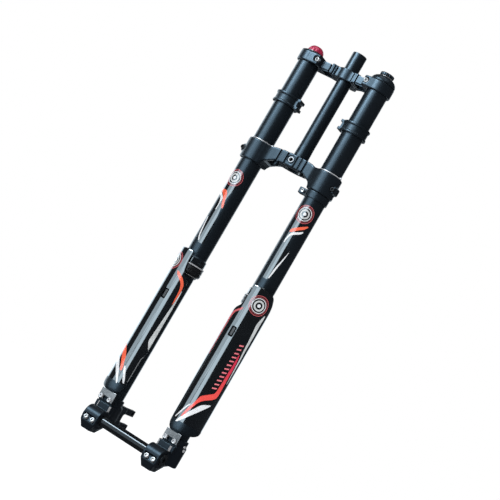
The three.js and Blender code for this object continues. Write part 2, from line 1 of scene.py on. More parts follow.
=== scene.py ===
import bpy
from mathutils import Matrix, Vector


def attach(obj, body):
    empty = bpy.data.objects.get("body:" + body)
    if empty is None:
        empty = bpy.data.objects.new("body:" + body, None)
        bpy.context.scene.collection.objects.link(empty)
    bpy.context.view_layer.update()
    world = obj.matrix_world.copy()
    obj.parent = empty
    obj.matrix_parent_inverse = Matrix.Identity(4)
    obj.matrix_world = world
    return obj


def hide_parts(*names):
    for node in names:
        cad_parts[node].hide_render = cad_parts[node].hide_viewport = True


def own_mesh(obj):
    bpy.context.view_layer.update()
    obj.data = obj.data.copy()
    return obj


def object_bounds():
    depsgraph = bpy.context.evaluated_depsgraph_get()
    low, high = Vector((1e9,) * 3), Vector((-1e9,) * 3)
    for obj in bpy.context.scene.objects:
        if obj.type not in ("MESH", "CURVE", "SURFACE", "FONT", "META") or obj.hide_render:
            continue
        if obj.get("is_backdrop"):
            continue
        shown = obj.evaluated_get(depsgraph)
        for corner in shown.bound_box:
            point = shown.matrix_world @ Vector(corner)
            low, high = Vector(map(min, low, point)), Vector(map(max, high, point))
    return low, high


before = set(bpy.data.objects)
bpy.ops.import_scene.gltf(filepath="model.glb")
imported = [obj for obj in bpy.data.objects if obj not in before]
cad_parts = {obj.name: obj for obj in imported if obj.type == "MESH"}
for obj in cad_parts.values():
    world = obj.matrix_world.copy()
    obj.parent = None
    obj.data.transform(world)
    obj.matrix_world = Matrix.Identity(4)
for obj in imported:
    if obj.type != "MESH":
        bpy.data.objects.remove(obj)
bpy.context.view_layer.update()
# Dual-crown, upside-down bicycle suspension fork. Sizes are in millimetres and are turned into metres when a mesh is made.
import math

import bpy
import numpy as np
from mathutils import Matrix, Vector

MM = 0.001
LX, LY = 76.6, -15.0  # leg axes at x = +-LX, y = LY
AXY, AXZ = -48.0, -591.0  # axle axis
LEGS = ((-1, "left"), (1, "right"))

# ------------------------------------------------------------------ camera
PSI, ELEV, ROLL = math.radians(27.0), math.radians(-4.68), math.radians(30.15)
back = Vector((math.sin(PSI) * math.cos(ELEV), -math.cos(PSI) * math.cos(ELEV), math.sin(ELEV)))
side = Vector((math.cos(PSI), math.sin(PSI), 0.0))
up = side.cross(-back)
right = side * math.cos(ROLL) + up * math.sin(ROLL)
upward = up * math.cos(ROLL) - side * math.sin(ROLL)
cam_data = bpy.data.cameras.new("camera")
cam_data.lens = 91.58
cam_data.sensor_width = 36.0
cam = bpy.data.objects.new("camera", cam_data)
bpy.context.scene.collection.objects.link(cam)
turn = Matrix((right, upward, back)).transposed().to_4x4()
cam.matrix_world = Matrix.Translation(Vector((0.0126, -0.015, -0.192)) + back * 2.31) @ turn
bpy.context.scene.camera = cam

# ------------------------------------------------------------------ node helpers for materials
def finish(name, dark, light, rough=(0.35, 0.45), metal=0.0, grain=900.0, bump=0.04, bump_scale=2600.0, stretch=(1, 1, 1),
           spec=0.5, tint=(1.0, 1.0, 1.0), coat=0.0, coat_rough=0.06, wear_and_highlight=None, wear_and_highlight_at=(0.53, 0.60), blotch=14.0, sheen=0.0, fade=None, aniso=0.0):
    """A procedural finish: two noises mix the colour, a third the roughness, a fourth the fine relief; a lighter colour
    on convex edges stands for wear and, on some finishes, is a painted edge highlight.
    """
    m = bpy.data.materials.new(name)
    m.use_nodes = True
    nt = m.node_tree
    b = next(n for n in nt.nodes if n.type == "BSDF_PRINCIPLED")
    new = nt.nodes.new
    link = nt.links.new
    tc = new("ShaderNodeTexCoord")
    mp = new("ShaderNodeMapping")
    mp.inputs["Scale"].default_value = stretch
    link(tc.outputs["Object"], mp.inputs["Vector"])

    def noise(scale, detail=3.0, vec=mp.outputs["Vector"]):
        n = new("ShaderNodeTexNoise")
        n.inputs["Scale"].default_value = scale
        n.inputs["Detail"].default_value = detail
        link(vec, n.inputs["Vector"])
        return n.outputs["Fac"]

    def remap(src, a, b_, lo, hi):
        r = new("ShaderNodeMapRange")
        r.inputs["From Min"].default_value = a
        r.inputs["From Max"].default_value = b_
        r.inputs["To Min"].default_value = lo
        r.inputs["To Max"].default_value = hi
        link(src, r.inputs["Value"])
        return r.outputs["Result"]

    def blend(fac, a, b_):
        x = new("ShaderNodeMix")
        x.data_type = "RGBA"
        link(fac, x.inputs[0])
        for k, v in ((6, a), (7, b_)):
            if isinstance(v, (tuple, list)):
                x.inputs[k].default_value = (*v, 1.0)
            else:
                link(v, x.inputs[k])
        return x.outputs[2]

    fine = noise(grain, 3.0)
    big = noise(blotch, 4.0, tc.outputs["Object"])
    add = new("ShaderNodeMath")
    add.operation = "MULTIPLY_ADD"
    link(fine, add.inputs[0])
    add.inputs[1].default_value = 0.6
    link(remap(big, 0.3, 0.7, 0.0, 0.4), add.inputs[2])
    colour = blend(remap(add.outputs[0], 0.25, 0.75, 0.0, 1.0), dark, light)
    if fade is not None:
        z0, z1, other = fade
        sep = new("ShaderNodeSeparateXYZ")
        link(tc.outputs["Object"], sep.inputs[0])
        colour = blend(remap(sep.outputs["Z"], z0 * MM, z1 * MM, 0.0, 1.0), colour, other)
    # convex edges take the edge colour: real wear on the steels, and where that colour is bluish it is a painted edge
    # highlight as well as wear
    if wear_and_highlight is not None:
        geo = new("ShaderNodeNewGeometry")
        edge = remap(geo.outputs["Pointiness"], wear_and_highlight_at[0], wear_and_highlight_at[1], 0.0, 1.0)
        wear_and_highlight_mask = new("ShaderNodeMath")
        wear_and_highlight_mask.operation = "MULTIPLY"
        link(edge, wear_and_highlight_mask.inputs[0])
        link(remap(noise(160.0, 5.0, tc.outputs["Object"]), 0.42, 0.62, 0.15, 1.0), wear_and_highlight_mask.inputs[1])
        colour = blend(wear_and_highlight_mask.outputs[0], colour, wear_and_highlight)
    link(colour, b.inputs["Base Color"])
    link(remap(noise(grain * 0.31, 4.0), 0.3, 0.7, rough[0], rough[1]), b.inputs["Roughness"])
    bp = new("ShaderNodeBump")
    bp.inputs["Strength"].default_value = bump
    bp.inputs["Distance"].default_value = 0.0002
    link(noise(bump_scale, 2.0), bp.inputs["Height"])
    link(bp.outputs["Normal"], b.inputs["Normal"])
    b.inputs["Metallic"].default_value = metal
    b.inputs["Specular IOR Level"].default_value = spec
    b.inputs["Specular Tint"].default_value = (*tint, 1.0)
    b.inputs["Coat Weight"].default_value = coat
    b.inputs["Coat Roughness"].default_value = coat_rough
    b.inputs["Anisotropic"].default_value = aniso
    if sheen:
        b.inputs["Sheen Weight"].default_value = sheen
        b.inputs["Sheen Roughness"].default_value = 0.6
    return m


M = {}
BLUE = (0.56, 0.80, 1.0)
M["satin"] = finish("satin_anodised_black", (0.0052, 0.0064, 0.0080), (0.0066, 0.0080, 0.0100), (0.29, 0.33), grain=600, bump=0.006, bump_scale=900, spec=0.34, tint=BLUE)
M["film"] = finish("gloss_printed_film", (0.0030, 0.0034, 0.0040), (0.0046, 0.0052, 0.0060), (0.08, 0.12), grain=700, bump=0.008, bump_scale=900, spec=1.0, tint=(0.85, 0.95, 1.0), coat=0.5, coat_rough=0.05)
M["stanchion"] = finish("polished_anodised_black", (0.0040, 0.0044, 0.0050), (0.0060, 0.0066, 0.0074), (0.18, 0.24), grain=900, bump=0.010, stretch=(1, 1, 0.02), spec=0.7, tint=BLUE)
M["axle"] = finish("polished_axle_black", (0.0050, 0.0055, 0.0062), (0.0070, 0.0078, 0.0088), (0.08, 0.11), grain=900, bump=0.004, spec=0.17, tint=(0.85, 0.93, 1.0))
# crown and lug: their bluish edge colour is partly wear and partly a painted highlight on the convex edges
M["crown"] = finish("forged_satin_black", (0.0050, 0.0062, 0.0080), (0.0068, 0.0084, 0.0108), (0.31, 0.37), grain=600, bump=0.012, bump_scale=900, spec=0.32, tint=BLUE, wear_and_highlight=(0.040, 0.048, 0.060), wear_and_highlight_at=(0.545, 0.64))
M["lug"] = finish("cast_satin_black", (0.0044, 0.0054, 0.0072), (0.0062, 0.0076, 0.0100), (0.33, 0.39), grain=600, bump=0.015, bump_scale=900, spec=0.13, tint=BLUE, wear_and_highlight=(0.16, 0.18, 0.20), wear_and_highlight_at=(0.545, 0.64))
M["machined"] = finish("machined_facet", (0.19, 0.20, 0.215), (0.32, 0.335, 0.355), (0.38, 0.46), metal=0.2, grain=700, bump=0.03, spec=0.4, stretch=(1, 1, 0.1))
M["guard"] = finish("gloss_moulded_black", (0.0024, 0.0027, 0.0032), (0.0040, 0.0045, 0.0052), (0.07, 0.11), grain=380, bump=0.012, bump_scale=500, spec=1.0, tint=(0.85, 0.95, 1.0), coat=0.5, coat_rough=0.04, blotch=30)
M["guardmatt"] = finish("satin_moulded_black", (0.0040, 0.0050, 0.0062), (0.0062, 0.0075, 0.0092), (0.34, 0.42), grain=900, bump=0.02, bump_scale=1300, spec=0.42, tint=BLUE)
M["plug"] = finish("moulded_plug_black", (0.0035, 0.0038, 0.0042), (0.0065, 0.0070, 0.0078), (0.34, 0.46), grain=900, bump=0.08, spec=0.35)
M["rubber"] = finish("wet_rubber_black", (0.0032, 0.0034, 0.0036), (0.0060, 0.0064, 0.0068), (0.26, 0.36), grain=1500, bump=0.025, bump_scale=2200, spec=0.6)
M["stop"] = finish("moulded_stop_black", (0.0045, 0.0054, 0.0066), (0.0068, 0.0080, 0.0098), (0.34, 0.42), grain=700, bump=0.03, bump_scale=1200, spec=0.34, tint=BLUE)
M["steel"] = finish("zinc_plated_steel", (0.22, 0.225, 0.23), (0.36, 0.365, 0.37), (0.30, 0.40), metal=0.3, grain=1200, bump=0.05, spec=0.4, wear_and_highlight=(0.48, 0.48, 0.48))
M["ringsteel"] = finish("satin_zinc_steel", (0.34, 0.34, 0.35), (0.50, 0.50, 0.51), (0.30, 0.42), metal=0.25, grain=900, bump=0.05)
M["blacksteel"] = finish("black_oxide_steel", (0.006, 0.007, 0.008), (0.014, 0.016, 0.018), (0.26, 0.40), metal=0.2, grain=1400, bump=0.08, spec=0.6, wear_and_highlight=(0.06, 0.065, 0.07))
M["blackbolt"] = finish("blacked_screw", (0.0035, 0.0042, 0.005), (0.005, 0.006, 0.008), (0.38, 0.48), grain=900, bump=0.03, spec=0.08)
M["plate"] = finish("brushed_aluminium", (0.030, 0.032, 0.034), (0.20, 0.205, 0.21), (0.34, 0.50), metal=0.5, grain=330, bump=0.35, bump_scale=420, stretch=(1.2, 1.2, 5), wear_and_highlight=(0.42, 0.43, 0.44), aniso=0.3)
M["red"] = finish("red_anodised", (0.25, 0.003, 0.030), (0.34, 0.006, 0.045), (0.36, 0.42), metal=0.2, grain=420, bump=0.008, spec=0.35)
M["alloy"] = finish("turned_aluminium", (0.30, 0.31, 0.32), (0.46, 0.47, 0.48), (0.24, 0.36), metal=0.9, grain=800, bump=0.10, stretch=(0.1, 0.1, 4))
M["bronze"] = finish("bushing_bronze", (0.20, 0.14, 0.06), (0.33, 0.24, 0.11), (0.35, 0.5), metal=0.8, grain=700, bump=0.08)
M["spring"] = finish("oiled_spring_steel", (0.10, 0.105, 0.11), (0.22, 0.225, 0.23), (0.22, 0.36), metal=0.9, grain=900, bump=0.08)
M["white"] = finish("print_white", (0.70, 0.72, 0.74), (0.80, 0.82, 0.84), (0.14, 0.22), grain=500, bump=0.02, coat=0.3)
M["silver"] = finish("print_silver", (0.44, 0.46, 0.46), (0.62, 0.64, 0.64), (0.14, 0.22), grain=260, bump=0.02, coat=0.3, blotch=40)
M["grey"] = finish("print_grey", (0.15, 0.16, 0.16), (0.22, 0.23, 0.24), (0.14, 0.22), grain=500, bump=0.02, coat=0.3)
M["orange"] = finish("print_orange", (0.76, 0.100, 0.045), (0.90, 0.150, 0.075), (0.14, 0.22), grain=500, bump=0.02, coat=0.3)
M["redprint"] = finish("print_red", (0.76, 0.065, 0.055), (0.88, 0.100, 0.080), (0.14, 0.22), grain=500, bump=0.02, coat=0.3, fade=(-455, -395, (0.62, 0.030, 0.070)))
M["pink"] = finish("print_rose", (0.50, 0.085, 0.095), (0.62, 0.130, 0.145), (0.14, 0.22), grain=500, bump=0.02, coat=0.3)
M["rose"] = finish("print_light_rose", (0.72, 0.16, 0.19), (0.84, 0.22, 0.25), (0.14, 0.22), grain=500, bump=0.02, coat=0.3)

# ------------------------------------------------------------------ mesh helpers
def commit(name, V, polys, body, mat, nodes=(), sharp=38.0):
    """Makes a piece from vertices in millimetres, turned so that its faces point out."""
    V = np.asarray(V, float)
    vol = 0.0
    for p in polys if len(polys) < 4000 else ():
        a = V[p[0]]
        for i in range(1, len(p) - 1):
            vol += float(np.dot(a, np.cross(V[p[i]], V[p[i + 1]])))
    if vol < 0:
        polys = [tuple(reversed(p)) for p in polys]
    me = bpy.data.meshes.new(name)
    me.from_pydata((V * MM).tolist(), [], polys)
    me.update()
    me.materials.append(M[mat] if isinstance(mat, str) else mat)
    me.polygons.foreach_set("use_smooth", [True] * len(me.polygons))
    me.set_sharp_from_angle(angle=math.radians(sharp))
    ob = bpy.data.objects.new(name, me)
    bpy.context.scene.collection.objects.link(ob)
    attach(ob, body)
    if nodes:
        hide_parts(*nodes)
    return ob


def fillet(pts, r=0.5, n=3, closed=True):
    """Rounds the corners of a profile. A point may carry its own radius as a third number."""
    out, m = [], len(pts)
    for i, p in enumerate(pts):
        rr = p[2] if len(p) > 2 else r
        b = np.array(p[:2], float)
        if rr <= 0 or (not closed and i in (0, m - 1)):
            out.append(tuple(b))
            continue
        u = np.array(pts[i - 1][:2], float) - b
        v = np.array(pts[(i + 1) % m][:2], float) - b
        lu, lv = np.linalg.norm(u), np.linalg.norm(v)
        if lu < 1e-6 or lv < 1e-6:
            out.append(tuple(b))
            continue
        u, v = u / lu, v / lv
        ang = math.acos(max(-1.0, min(1.0, float(u @ v))))
        if ang > math.radians(174) or ang < math.radians(6):
            out.append(tuple(b))
            continue
        t = min(rr / math.tan(ang / 2), lu * 0.45, lv * 0.45)
        q = t * math.tan(ang / 2)
        cen = b + (u + v) / np.linalg.norm(u + v) * q / math.sin(ang / 2)
        p0, p1 = b + u * t - cen, b + v * t - cen
        w = math.pi - ang
        for k in range(n + 1):
            s = k / n
            d = (math.sin((1 - s) * w) * p0 + math.sin(s * w) * p1) / math.sin(w) if w > 1e-3 else p0
            out.append(tuple(cen + d))
    return out


def aim(V, origin, direction):
    """Turns points built along +Z so that +Z lies along a direction, and moves them to an origin."""
    q = Vector((0, 0, 1)).rotation_difference(Vector(direction).normalized()).to_matrix()
    return np.asarray(V) @ np.array(q).T + np.array(origin, float)


def lathe_mesh(prof, seg=96, r=0.5, n=3, mod=None, open_gap=None):
    """Vertices and faces of a profile [(radius, z), ...] turned about Z. mod(angle, radius, z) may reshape each ring."""
    solid = prof[0][0] < 1e-6 and prof[-1][0] < 1e-6
    pts = [tuple(p) for p in fillet(prof, r, n, closed=not solid)]
    # holding rings keep the shading of long straight runs free of the curves at their ends
    held = []
    for i, a in enumerate(pts):
        held.append(a)
        if solid and i == len(pts) - 1:
            break
        b = pts[(i + 1) % len(pts)]
        run = math.hypot(b[0] - a[0], b[1] - a[1])
        if run > 3.0:
            held += [(a[0] + (b[0] - a[0]) * q, a[1] + (b[1] - a[1]) * q) for q in (0.5 / run, 1 - 0.5 / run)]
    pts = held
    th = np.linspace(0, 2 * math.pi, seg, endpoint=False)
    V, F, rings = [], [], []
    for rad, z in pts:
        if rad < 1e-6:
            rings.append([len(V)])
            V.append((0, 0, z))
            continue
        rr = np.full(seg, rad) if mod is None else mod(th, rad, z)
        rings.append(list(range(len(V), len(V) + seg)))
        V += list(zip(rr * np.cos(th), rr * np.sin(th), np.full(seg, z)))
    m = len(rings)
    for i in range(m if not solid else m - 1):
        a, b = rings[i], rings[(i + 1) % m]
        if len(a) == 1 and len(b) == 1:
            continue
        for j in range(seg):
            k = (j + 1) % seg
            if len(a) == 1:
                F.append((a[0], b[k], b[j]))
            elif len(b) == 1:
                F.append((a[j], a[k], b[0]))
            else:
                F.append((a[j], a[k], b[k], b[j]))
    return np.array(V, float), F


def lathe(name, prof, body, mat, nodes=(), x=0.0, y=0.0, seg=96, r=0.5, n=3, mod=None, sharp=38.0, origin=None, axis=None):
    V, F = lathe_mesh(prof, seg, r, n, mod)
    V = aim(V, origin, axis) if axis is not None else V + np.array([x, y, 0.0])
    return commit(name, V, F, body, mat, nodes, sharp)


def hexagon(a):
    """Ring shape of a hexagon with apothem a, as a mod for lathe_mesh."""
    return lambda th: a / np.cos(np.mod(th + math.pi / 6, math.pi / 3) - math.pi / 6)


def screw(name, head_r, head_h, shank_r, frm, to, body, mat, nodes, dome=0.0):
    """Socket-head screw with a knurled head and a hexagon socket; frm is the head's top, to is the tip."""
    f, t = np.array(frm, float), np.array(to, float)
    L = float(np.linalg.norm(t - f))
    seg = 72
    hexr = head_r * 0.50
    th = np.linspace(0, 2 * math.pi, seg, endpoint=False)
    hx = hexagon(hexr)(th)
    rings = [(0.0, -head_h * 0.62), (hx, -head_h * 0.62), (hx, -0.35), (hx * 1.10, 0.0)]
    c = 0.5
    rings += [(head_r - c - 0.15, dome), (head_r - c * 0.5, dome * 0.6 - 0.12), (head_r - 0.08, -c)]
    knurl = head_r - 0.10 * (1 + np.cos(24 * th))
    rings += [(knurl, -c - 0.25), (knurl, -head_h + 0.7), (head_r - 0.05, -head_h + 0.45), (head_r - 0.3, -head_h)]
    rings += [(shank_r + 0.2, -head_h), (shank_r, -head_h - 0.3)]
    z = -head_h - 1.2
    while z > -L + 2.0:  # rolled thread
        rings += [(shank_r, z), (shank_r - 0.28, z - 0.4)]
        z -= 0.8
    rings += [(shank_r - 0.1, -L + 0.9), (shank_r - 0.7, -L), (0.0, -L)]
    V, R = [], []
    for rr, zz in rings:
        if np.isscalar(rr) and rr == 0.0:
            R.append([len(V)])
            V.append((0, 0, zz))
        else:
            q = np.broadcast_to(rr, (seg,))
            R.append(list(range(len(V), len(V) + seg)))
            V += list(zip(q * np.cos(th), q * np.sin(th), np.full(seg, zz)))
    F = []
    for a, b in zip(R, R[1:]):
        for j in range(seg):
            k = (j + 1) % seg
            if len(a) == 1:
                F.append((a[0], b[k], b[j]))
            elif len(b) == 1:
                F.append((a[j], a[k], b[0]))
            else:
                F.append((a[j], a[k], b[k], b[j]))
    return commit(name, aim(np.array(V, float), f, f - t), F, body, mat, nodes, 32.0)


# ------------------------------------------------------------------ solid shapes as signed distances, turned into meshes
def smin(a, b, k):
    h = np.clip(0.5 + 0.5 * (b - a) / k, 0, 1)
    return b * (1 - h) + a * h - k * h * (1 - h)


def smax(a, b, k):
    return -smin(-a, -b, k)


def ext(d2, dz, r):
    """A flat shape's distance raised to a height, with edges rounded to radius r."""
    a, b = d2 + r, dz + r
    return np.sqrt(np.maximum(a, 0) ** 2 + np.maximum(b, 0) ** 2) + np.minimum(np.maximum(a, b), 0) - r


def span(v, lo, hi):
    return np.abs(v - (lo + hi) / 2) - (hi - lo) / 2


def block(x, y, z, x0, x1, y0, y1, z0, z1, r=1.0):
    a, b, c = span(x, x0, x1) + r, span(y, y0, y1) + r, span(z, z0, z1) + r
    return (np.sqrt(np.maximum(a, 0) ** 2 + np.maximum(b, 0) ** 2 + np.maximum(c, 0) ** 2)
            + np.minimum(np.maximum(np.maximum(a, b), c), 0) - r)


def rod(u, v, w, cu, cv, R, w0, w1, r=0.8):
    return ext(np.hypot(u - cu, v - cv) - R, span(w, w0, w1), r)


def slanted(x, y, z, a, b, R):
    """Endless cylinder of radius R through a and b, cut off flat at both."""
    a, b = np.array(a, float), np.array(b, float)
    d = (b - a) / np.linalg.norm(b - a)
    px, py, pz = x - a[0], y - a[1], z - a[2]
    t = px * d[0] + py * d[1] + pz * d[2]
    qx, qy, qz = px - t * d[0], py - t * d[1], pz - t * d[2]
    return np.maximum(np.sqrt(qx * qx + qy * qy + qz * qz) - R, np.maximum(-t, t - float(np.linalg.norm(b - a))))


def poly(px, py, pts):
    """Signed distance to a closed outline."""
    px, py = np.broadcast_arrays(px, py)
    d = np.full(px.shape, 1e9)
    s = np.ones(px.shape)
    for i in range(len(pts)):
        ax, ay = pts[i]
        bx, by = pts[i - 1]
        ex, ey = bx - ax, by - ay
        wx, wy = px - ax, py - ay
        t = np.clip((wx * ex + wy * ey) / (ex * ex + ey * ey + 1e-12), 0, 1)
        d = np.minimum(d, (wx - ex * t) ** 2 + (wy - ey * t) ** 2)
        c1, c2, c3 = py >= ay, py < by, ex * wy > ey * wx
        s = np.where((c1 & c2 & c3) | (~c1 & ~c2 & ~c3), -s, s)
    return s * np.sqrt(d)


def sdf_mesh(fn, lo, hi, h):
    """Surface nets over a box, then two steps that settle each vertex on the true surface."""
    ax = [np.arange(a - 1.63 * h, b + 2.4 * h, h) for a, b in zip(lo, hi)]
    F = fn(ax[0][:, None, None], ax[1][None, :, None], ax[2][None, None, :])
    F = np.broadcast_to(F, tuple(map(len, ax)))
    S = F < 0
    n0, n1, n2 = S.shape
    tot = np.zeros((n0 - 1, n1 - 1, n2 - 1), np.int8)
    corners = [(i, j, k) for i in (0, 1) for j in (0, 1) for k in (0, 1)]
    for i, j, k in corners:
        tot += S[i:n0 - 1 + i, j:n1 - 1 + j, k:n2 - 1 + k]
    I, J, K = np.nonzero((tot > 0) & (tot < 8))
    idx = np.full(tot.shape, -1, np.int64)
    idx[I, J, K] = np.arange(len(I))
    val = np.stack([F[I + a, J + b, K + c] for a, b, c in corners], 1)
    acc, cnt = np.zeros((len(I), 3)), np.zeros(len(I))
    C = np.array(corners, float)
    for a in range(8):
        for b in range(a + 1, 8):
            d = C[b] - C[a]
            if abs(d).sum() != 1:
                continue
            m = (val[:, a] < 0) != (val[:, b] < 0)
            t = val[m, a] / (val[m, a] - val[m, b])
            acc[m] += C[a] + t[:, None] * d
            cnt[m] += 1
    V = np.array([ax[0][0], ax[1][0], ax[2][0]]) + h * (np.stack([I, J, K], 1) + acc / cnt[:, None])
    quads = []
    for axis in range(3):
        u, v = (axis + 1) % 3, (axis + 2) % 3
        s0 = [slice(1, -1)] * 3
        s1 = [slice(1, -1)] * 3
        s0[axis], s1[axis] = slice(0, -1), slice(1, None)
        A, B = S[tuple(s0)], S[tuple(s1)]
        P = np.stack(np.nonzero(A != B), 1)
        flip = B[tuple(P.T)]
        P[:, u] += 1
        P[:, v] += 1
        eu, ev = np.zeros(3, int), np.zeros(3, int)
        eu[u], ev[v] = 1, 1
        q = np.stack([idx[tuple((P - eu - ev).T)], idx[tuple((P - ev).T)], idx[tuple(P.T)], idx[tuple((P - eu).T)]], 1)
        q[flip] = q[flip][:, ::-1]
        quads.append(q)
    Q = np.concatenate(quads)
    e = 0.03
    for _ in range(2):
        x, y, z = V.T
        f = fn(x, y, z)
        g = np.stack([(fn(x + e, y, z) - fn(x - e, y, z)), (fn(x, y + e, z) - fn(x, y - e, z)), (fn(x, y, z + e) - fn(x, y, z - e))], 1) / (2 * e)
        g2 = np.maximum((g * g).sum(1), 0.3)
        V = V - g * np.clip(f / g2, -0.4 * h, 0.4 * h)[:, None]
    return V, Q


def carve(name, fn, lo, hi, h, body, mat, nodes=(), sharp=45.0):
    V, Q = sdf_mesh(fn, lo, hi, h)
    return commit(name, V, [tuple(q) for q in Q.tolist()], body, mat, nodes, sharp)


def arc(cx, cy, r, a0, a1, n):
    return [(cx + r * math.cos(math.radians(a0 + (a1 - a0) * i / n)), cy + r * math.sin(math.radians(a0 + (a1 - a0) * i / n))) for i in range(n + 1)]


FINE = 0.8

# ------------------------------------------------------------------ steerer and upper crown
lathe("steerer_tube_turned", [(12.0, -24), (14.3, -24), (14.85, -18), (15.0, -16), (15.0, 0.6), (14.3, 26), (14.3, 226, 0.9), (12.0, 226, 0.7)],
      "uppers", "satin", ["steerer_tube"], r=0.4)

TC_HALF = [(0, -18), (17.5, -18), (18.6, -22.2), (30, -23.6), (46.6, -24.4), (48.6, -36.4), (51, -39.2), (60, -40.6)] + arc(LX, LY, 25, -100, 120, 40) + [(52, 9.5), (34, 12), (22, 19.5), (13, 26.5), (12, 35), (0, 35)]
TC = TC_HALF + [(-a, b) for a, b in reversed(TC_HALF)][1:-1]
TAN14 = math.tan(math.radians(14))


def top_crown(x, y, z):
    X = np.abs(x)
    s = ext(poly(X, y, TC), span(z, 167, 187), 1.9)
    s = smin(s, rod(x, y, z, 0, 0, 21, 167, 188.2, 1.3), 1.5)
    s = smax(s, -(np.hypot(x, y) - 14.55), 0.9)
    s = smax(s, -(np.hypot(X - LX, y - LY) - 21.2), 0.9)
    # machined recess between the arm and the clamp on the top face, and pockets in the underside
    s = smax(s, -block(X, y, z, 27, 45, -20, 6, 160, 176, 2.5), 1.2)
    s = smax(s, -block(X, y, z, 30.4, 48.2, -60, 40, 183.8, 200, 0.6), 0.8)
    s = smax(s, -block(X, y, z, 30.4, 47.6, -60, -21.5, 150, 169.4, 0.6), 0.8)
    for a, b in ((18.8, 22.4), (27.8, 30.5)):
        s = smax(s, -block(X, y, z, a, b, -32, -19.5, 150, 200, 0.5), 0.5)
    s = smax(s, -np.maximum(span(X, 44, 60), span(y, LY - 0.9, LY + 0.9)), 0.3)
    s = smax(s, -np.maximum(span(x, -0.9, 0.9), -(y - 10)), 0.3)
    p = lambda yy: (54.6 - (yy + 38) * TAN14, yy, 177.5)
    s = smax(s, -slanted(X, y, z, p(-50), p(-33.2), 5.7), 0.7)
    s = smax(s, -slanted(X, y, z, p(-36), p(6), 3.2), 0.3)
    s = smax(s, -slanted(x, y, z, (-20, 29.5, 177), (20, 29.5, 177), 3.2), 0.3)
    return s


carve("top_crown_forged", top_crown, (-102, -42, 166), (102, 36, 189), FINE, "uppers", "crown", ["top_crown"])
for k, leg in LEGS:
    p = lambda yy: (k * (54.6 - (yy + 38) * TAN14), yy, 177.5)
    screw("top_crown_%s_screw" % leg, 4.6, 4.6, 2.9, p(-38.3), p(2), "uppers", "steel", ["top_crown_%s_bolt" % leg], 0.15)
screw("steerer_clamp_screw", 4.6, 5, 2.9, (20.6, 29.5, 177), (-12, 29.5, 177), "uppers", "steel", ["steerer_clamp_bolt"])

# ------------------------------------------------------------------ lower crown
LC_HALF = [(0, -30.5), (8.5, -30.5), (10.5, -28.2), (19, -27.4), (36, -27.6), (50, -29.0), (58, -30.0), (58, 2), (54, 8), (40, 10), (28, 16), (18, 22.5), (0, 25.5)]
LC_PLAN = LC_HALF + [(-a, b) for a, b in reversed(LC_HALF)][1:-1]
LC_FRONT = [(24, 0), (40, -2), (50, -5), (112, -5), (112, -46), (55, -46), (53.5, -41), (50, -35.5), (39, -28.8), (30.5, -24.5),
            (-30.5, -24.5), (-39, -28.8), (-50, -35.5), (-53.5, -41), (-55, -46), (-112, -46), (-112, -5), (-50, -5), (-40, -2), (-24, 0)]


def lower_crown(x, y, z):
    X = np.abs(x)
    plan = smin(poly(X, y, LC_PLAN), np.hypot(X - LX, y - LY) - 26, 9.0)
    s = smax(plan, poly(x, z, LC_FRONT), 2.6)
    ear = block(X, y, z, 95, 106, -26, -4, -35.6, -20.5, 3.6)
    s = smin(s, ear, 2.0)
    s = smax(s, -(np.hypot(x, y) - 15.2), 0.8)
    s = smax(s, -(np.hypot(X - LX, y - LY) - 21.2), 1.0)
    s = smax(s, -np.maximum(span(X, 92, 112), span(y, LY - 0.9, LY + 0.9)), 0.3)
    s = smax(s, -slanted(X, y, z, (101.4, -40, -28.5), (101.4, 10, -28.5), 2.7), 0.3)
    s = smax(s, -slanted(X, y, z, (101.4, -45, -28.5), (101.4, -25.8, -28.5), 4.8), 0.4)
    s = smax(s, -ext(poly(X, y, [(27, -18), (45, -24), (45, 2), (30, 4)]), span(z, -60, -14), 2.0), 1.4)
    for a, b in ((-29.4, -24.6), (-13.6, -11.6), (17.4, 20.4), (27.4, 30.6)):
        s = smax(s, -block(x, y, z, a, b, -40, -24.2, -60, 12, 0.6), 0.6)
    s = smax(s, -slanted(x, y, z, (0, -40, -12), (0, -28.4, -12), 8.3), 0.6)
    s = smin(s, slanted(x, y, z, (0, -30.6, -12), (0, -24, -12), 6.3), 0.3)
    s = smin(s, rod(x, y, z, -31, -14, 5.2, -31.5, -18, 1.0), 0.8)
    s = smax(s, -slanted(x, y, z, (0, -40, -12), (0, -18.5, -12), 4.1), 0.3)
    s = smax(s, -slanted(x, y, z, (24, -16.5, -60), (24, -16.5, -12), 2.8), 0.3)
    return s


carve("lower_crown_forged", lower_crown, (-108, -42, -47), (108, 27, 1), FINE, "uppers", "crown", ["lower_crown"])
lathe("lower_crown_insert", [(3.5, -3), (4.0, -3), (4.15, 0.12), (5.4, 0.12), (5.4, 0.55, 0.25), (4.1, 0.55, 0.25), (3.6, 0.2)], "uppers", "machined", (),
      seg=48, r=0.15, origin=(0, -30.5, -12), axis=(0, -1, 0))
for k, leg in LEGS:
    screw("lower_crown_%s_screw" % leg, 4.3, 4.2, 2.45, (k * 101.4, -30.4, -28.5), (k * 101.4, -5.5, -28.5), "uppers", "blackbolt", ["lower_crown_%s_bolt" % leg])
screw("crown_stop_set", 5.4, 5.4, 2.6, (24, -16.5, -30.3), (24, -16.5, -13), "uppers", "blacksteel", ["crown_stop_screw"])

# ------------------------------------------------------------------ printed graphics: thin films that follow a round surface
def guard_radius(z):
    t = np.clip((-526.0 - np.asarray(z, float)) / 11.0, 0, 1)
    return 30.85 - 2.1 * (1 - np.sqrt(1 - t * t * 0.98))


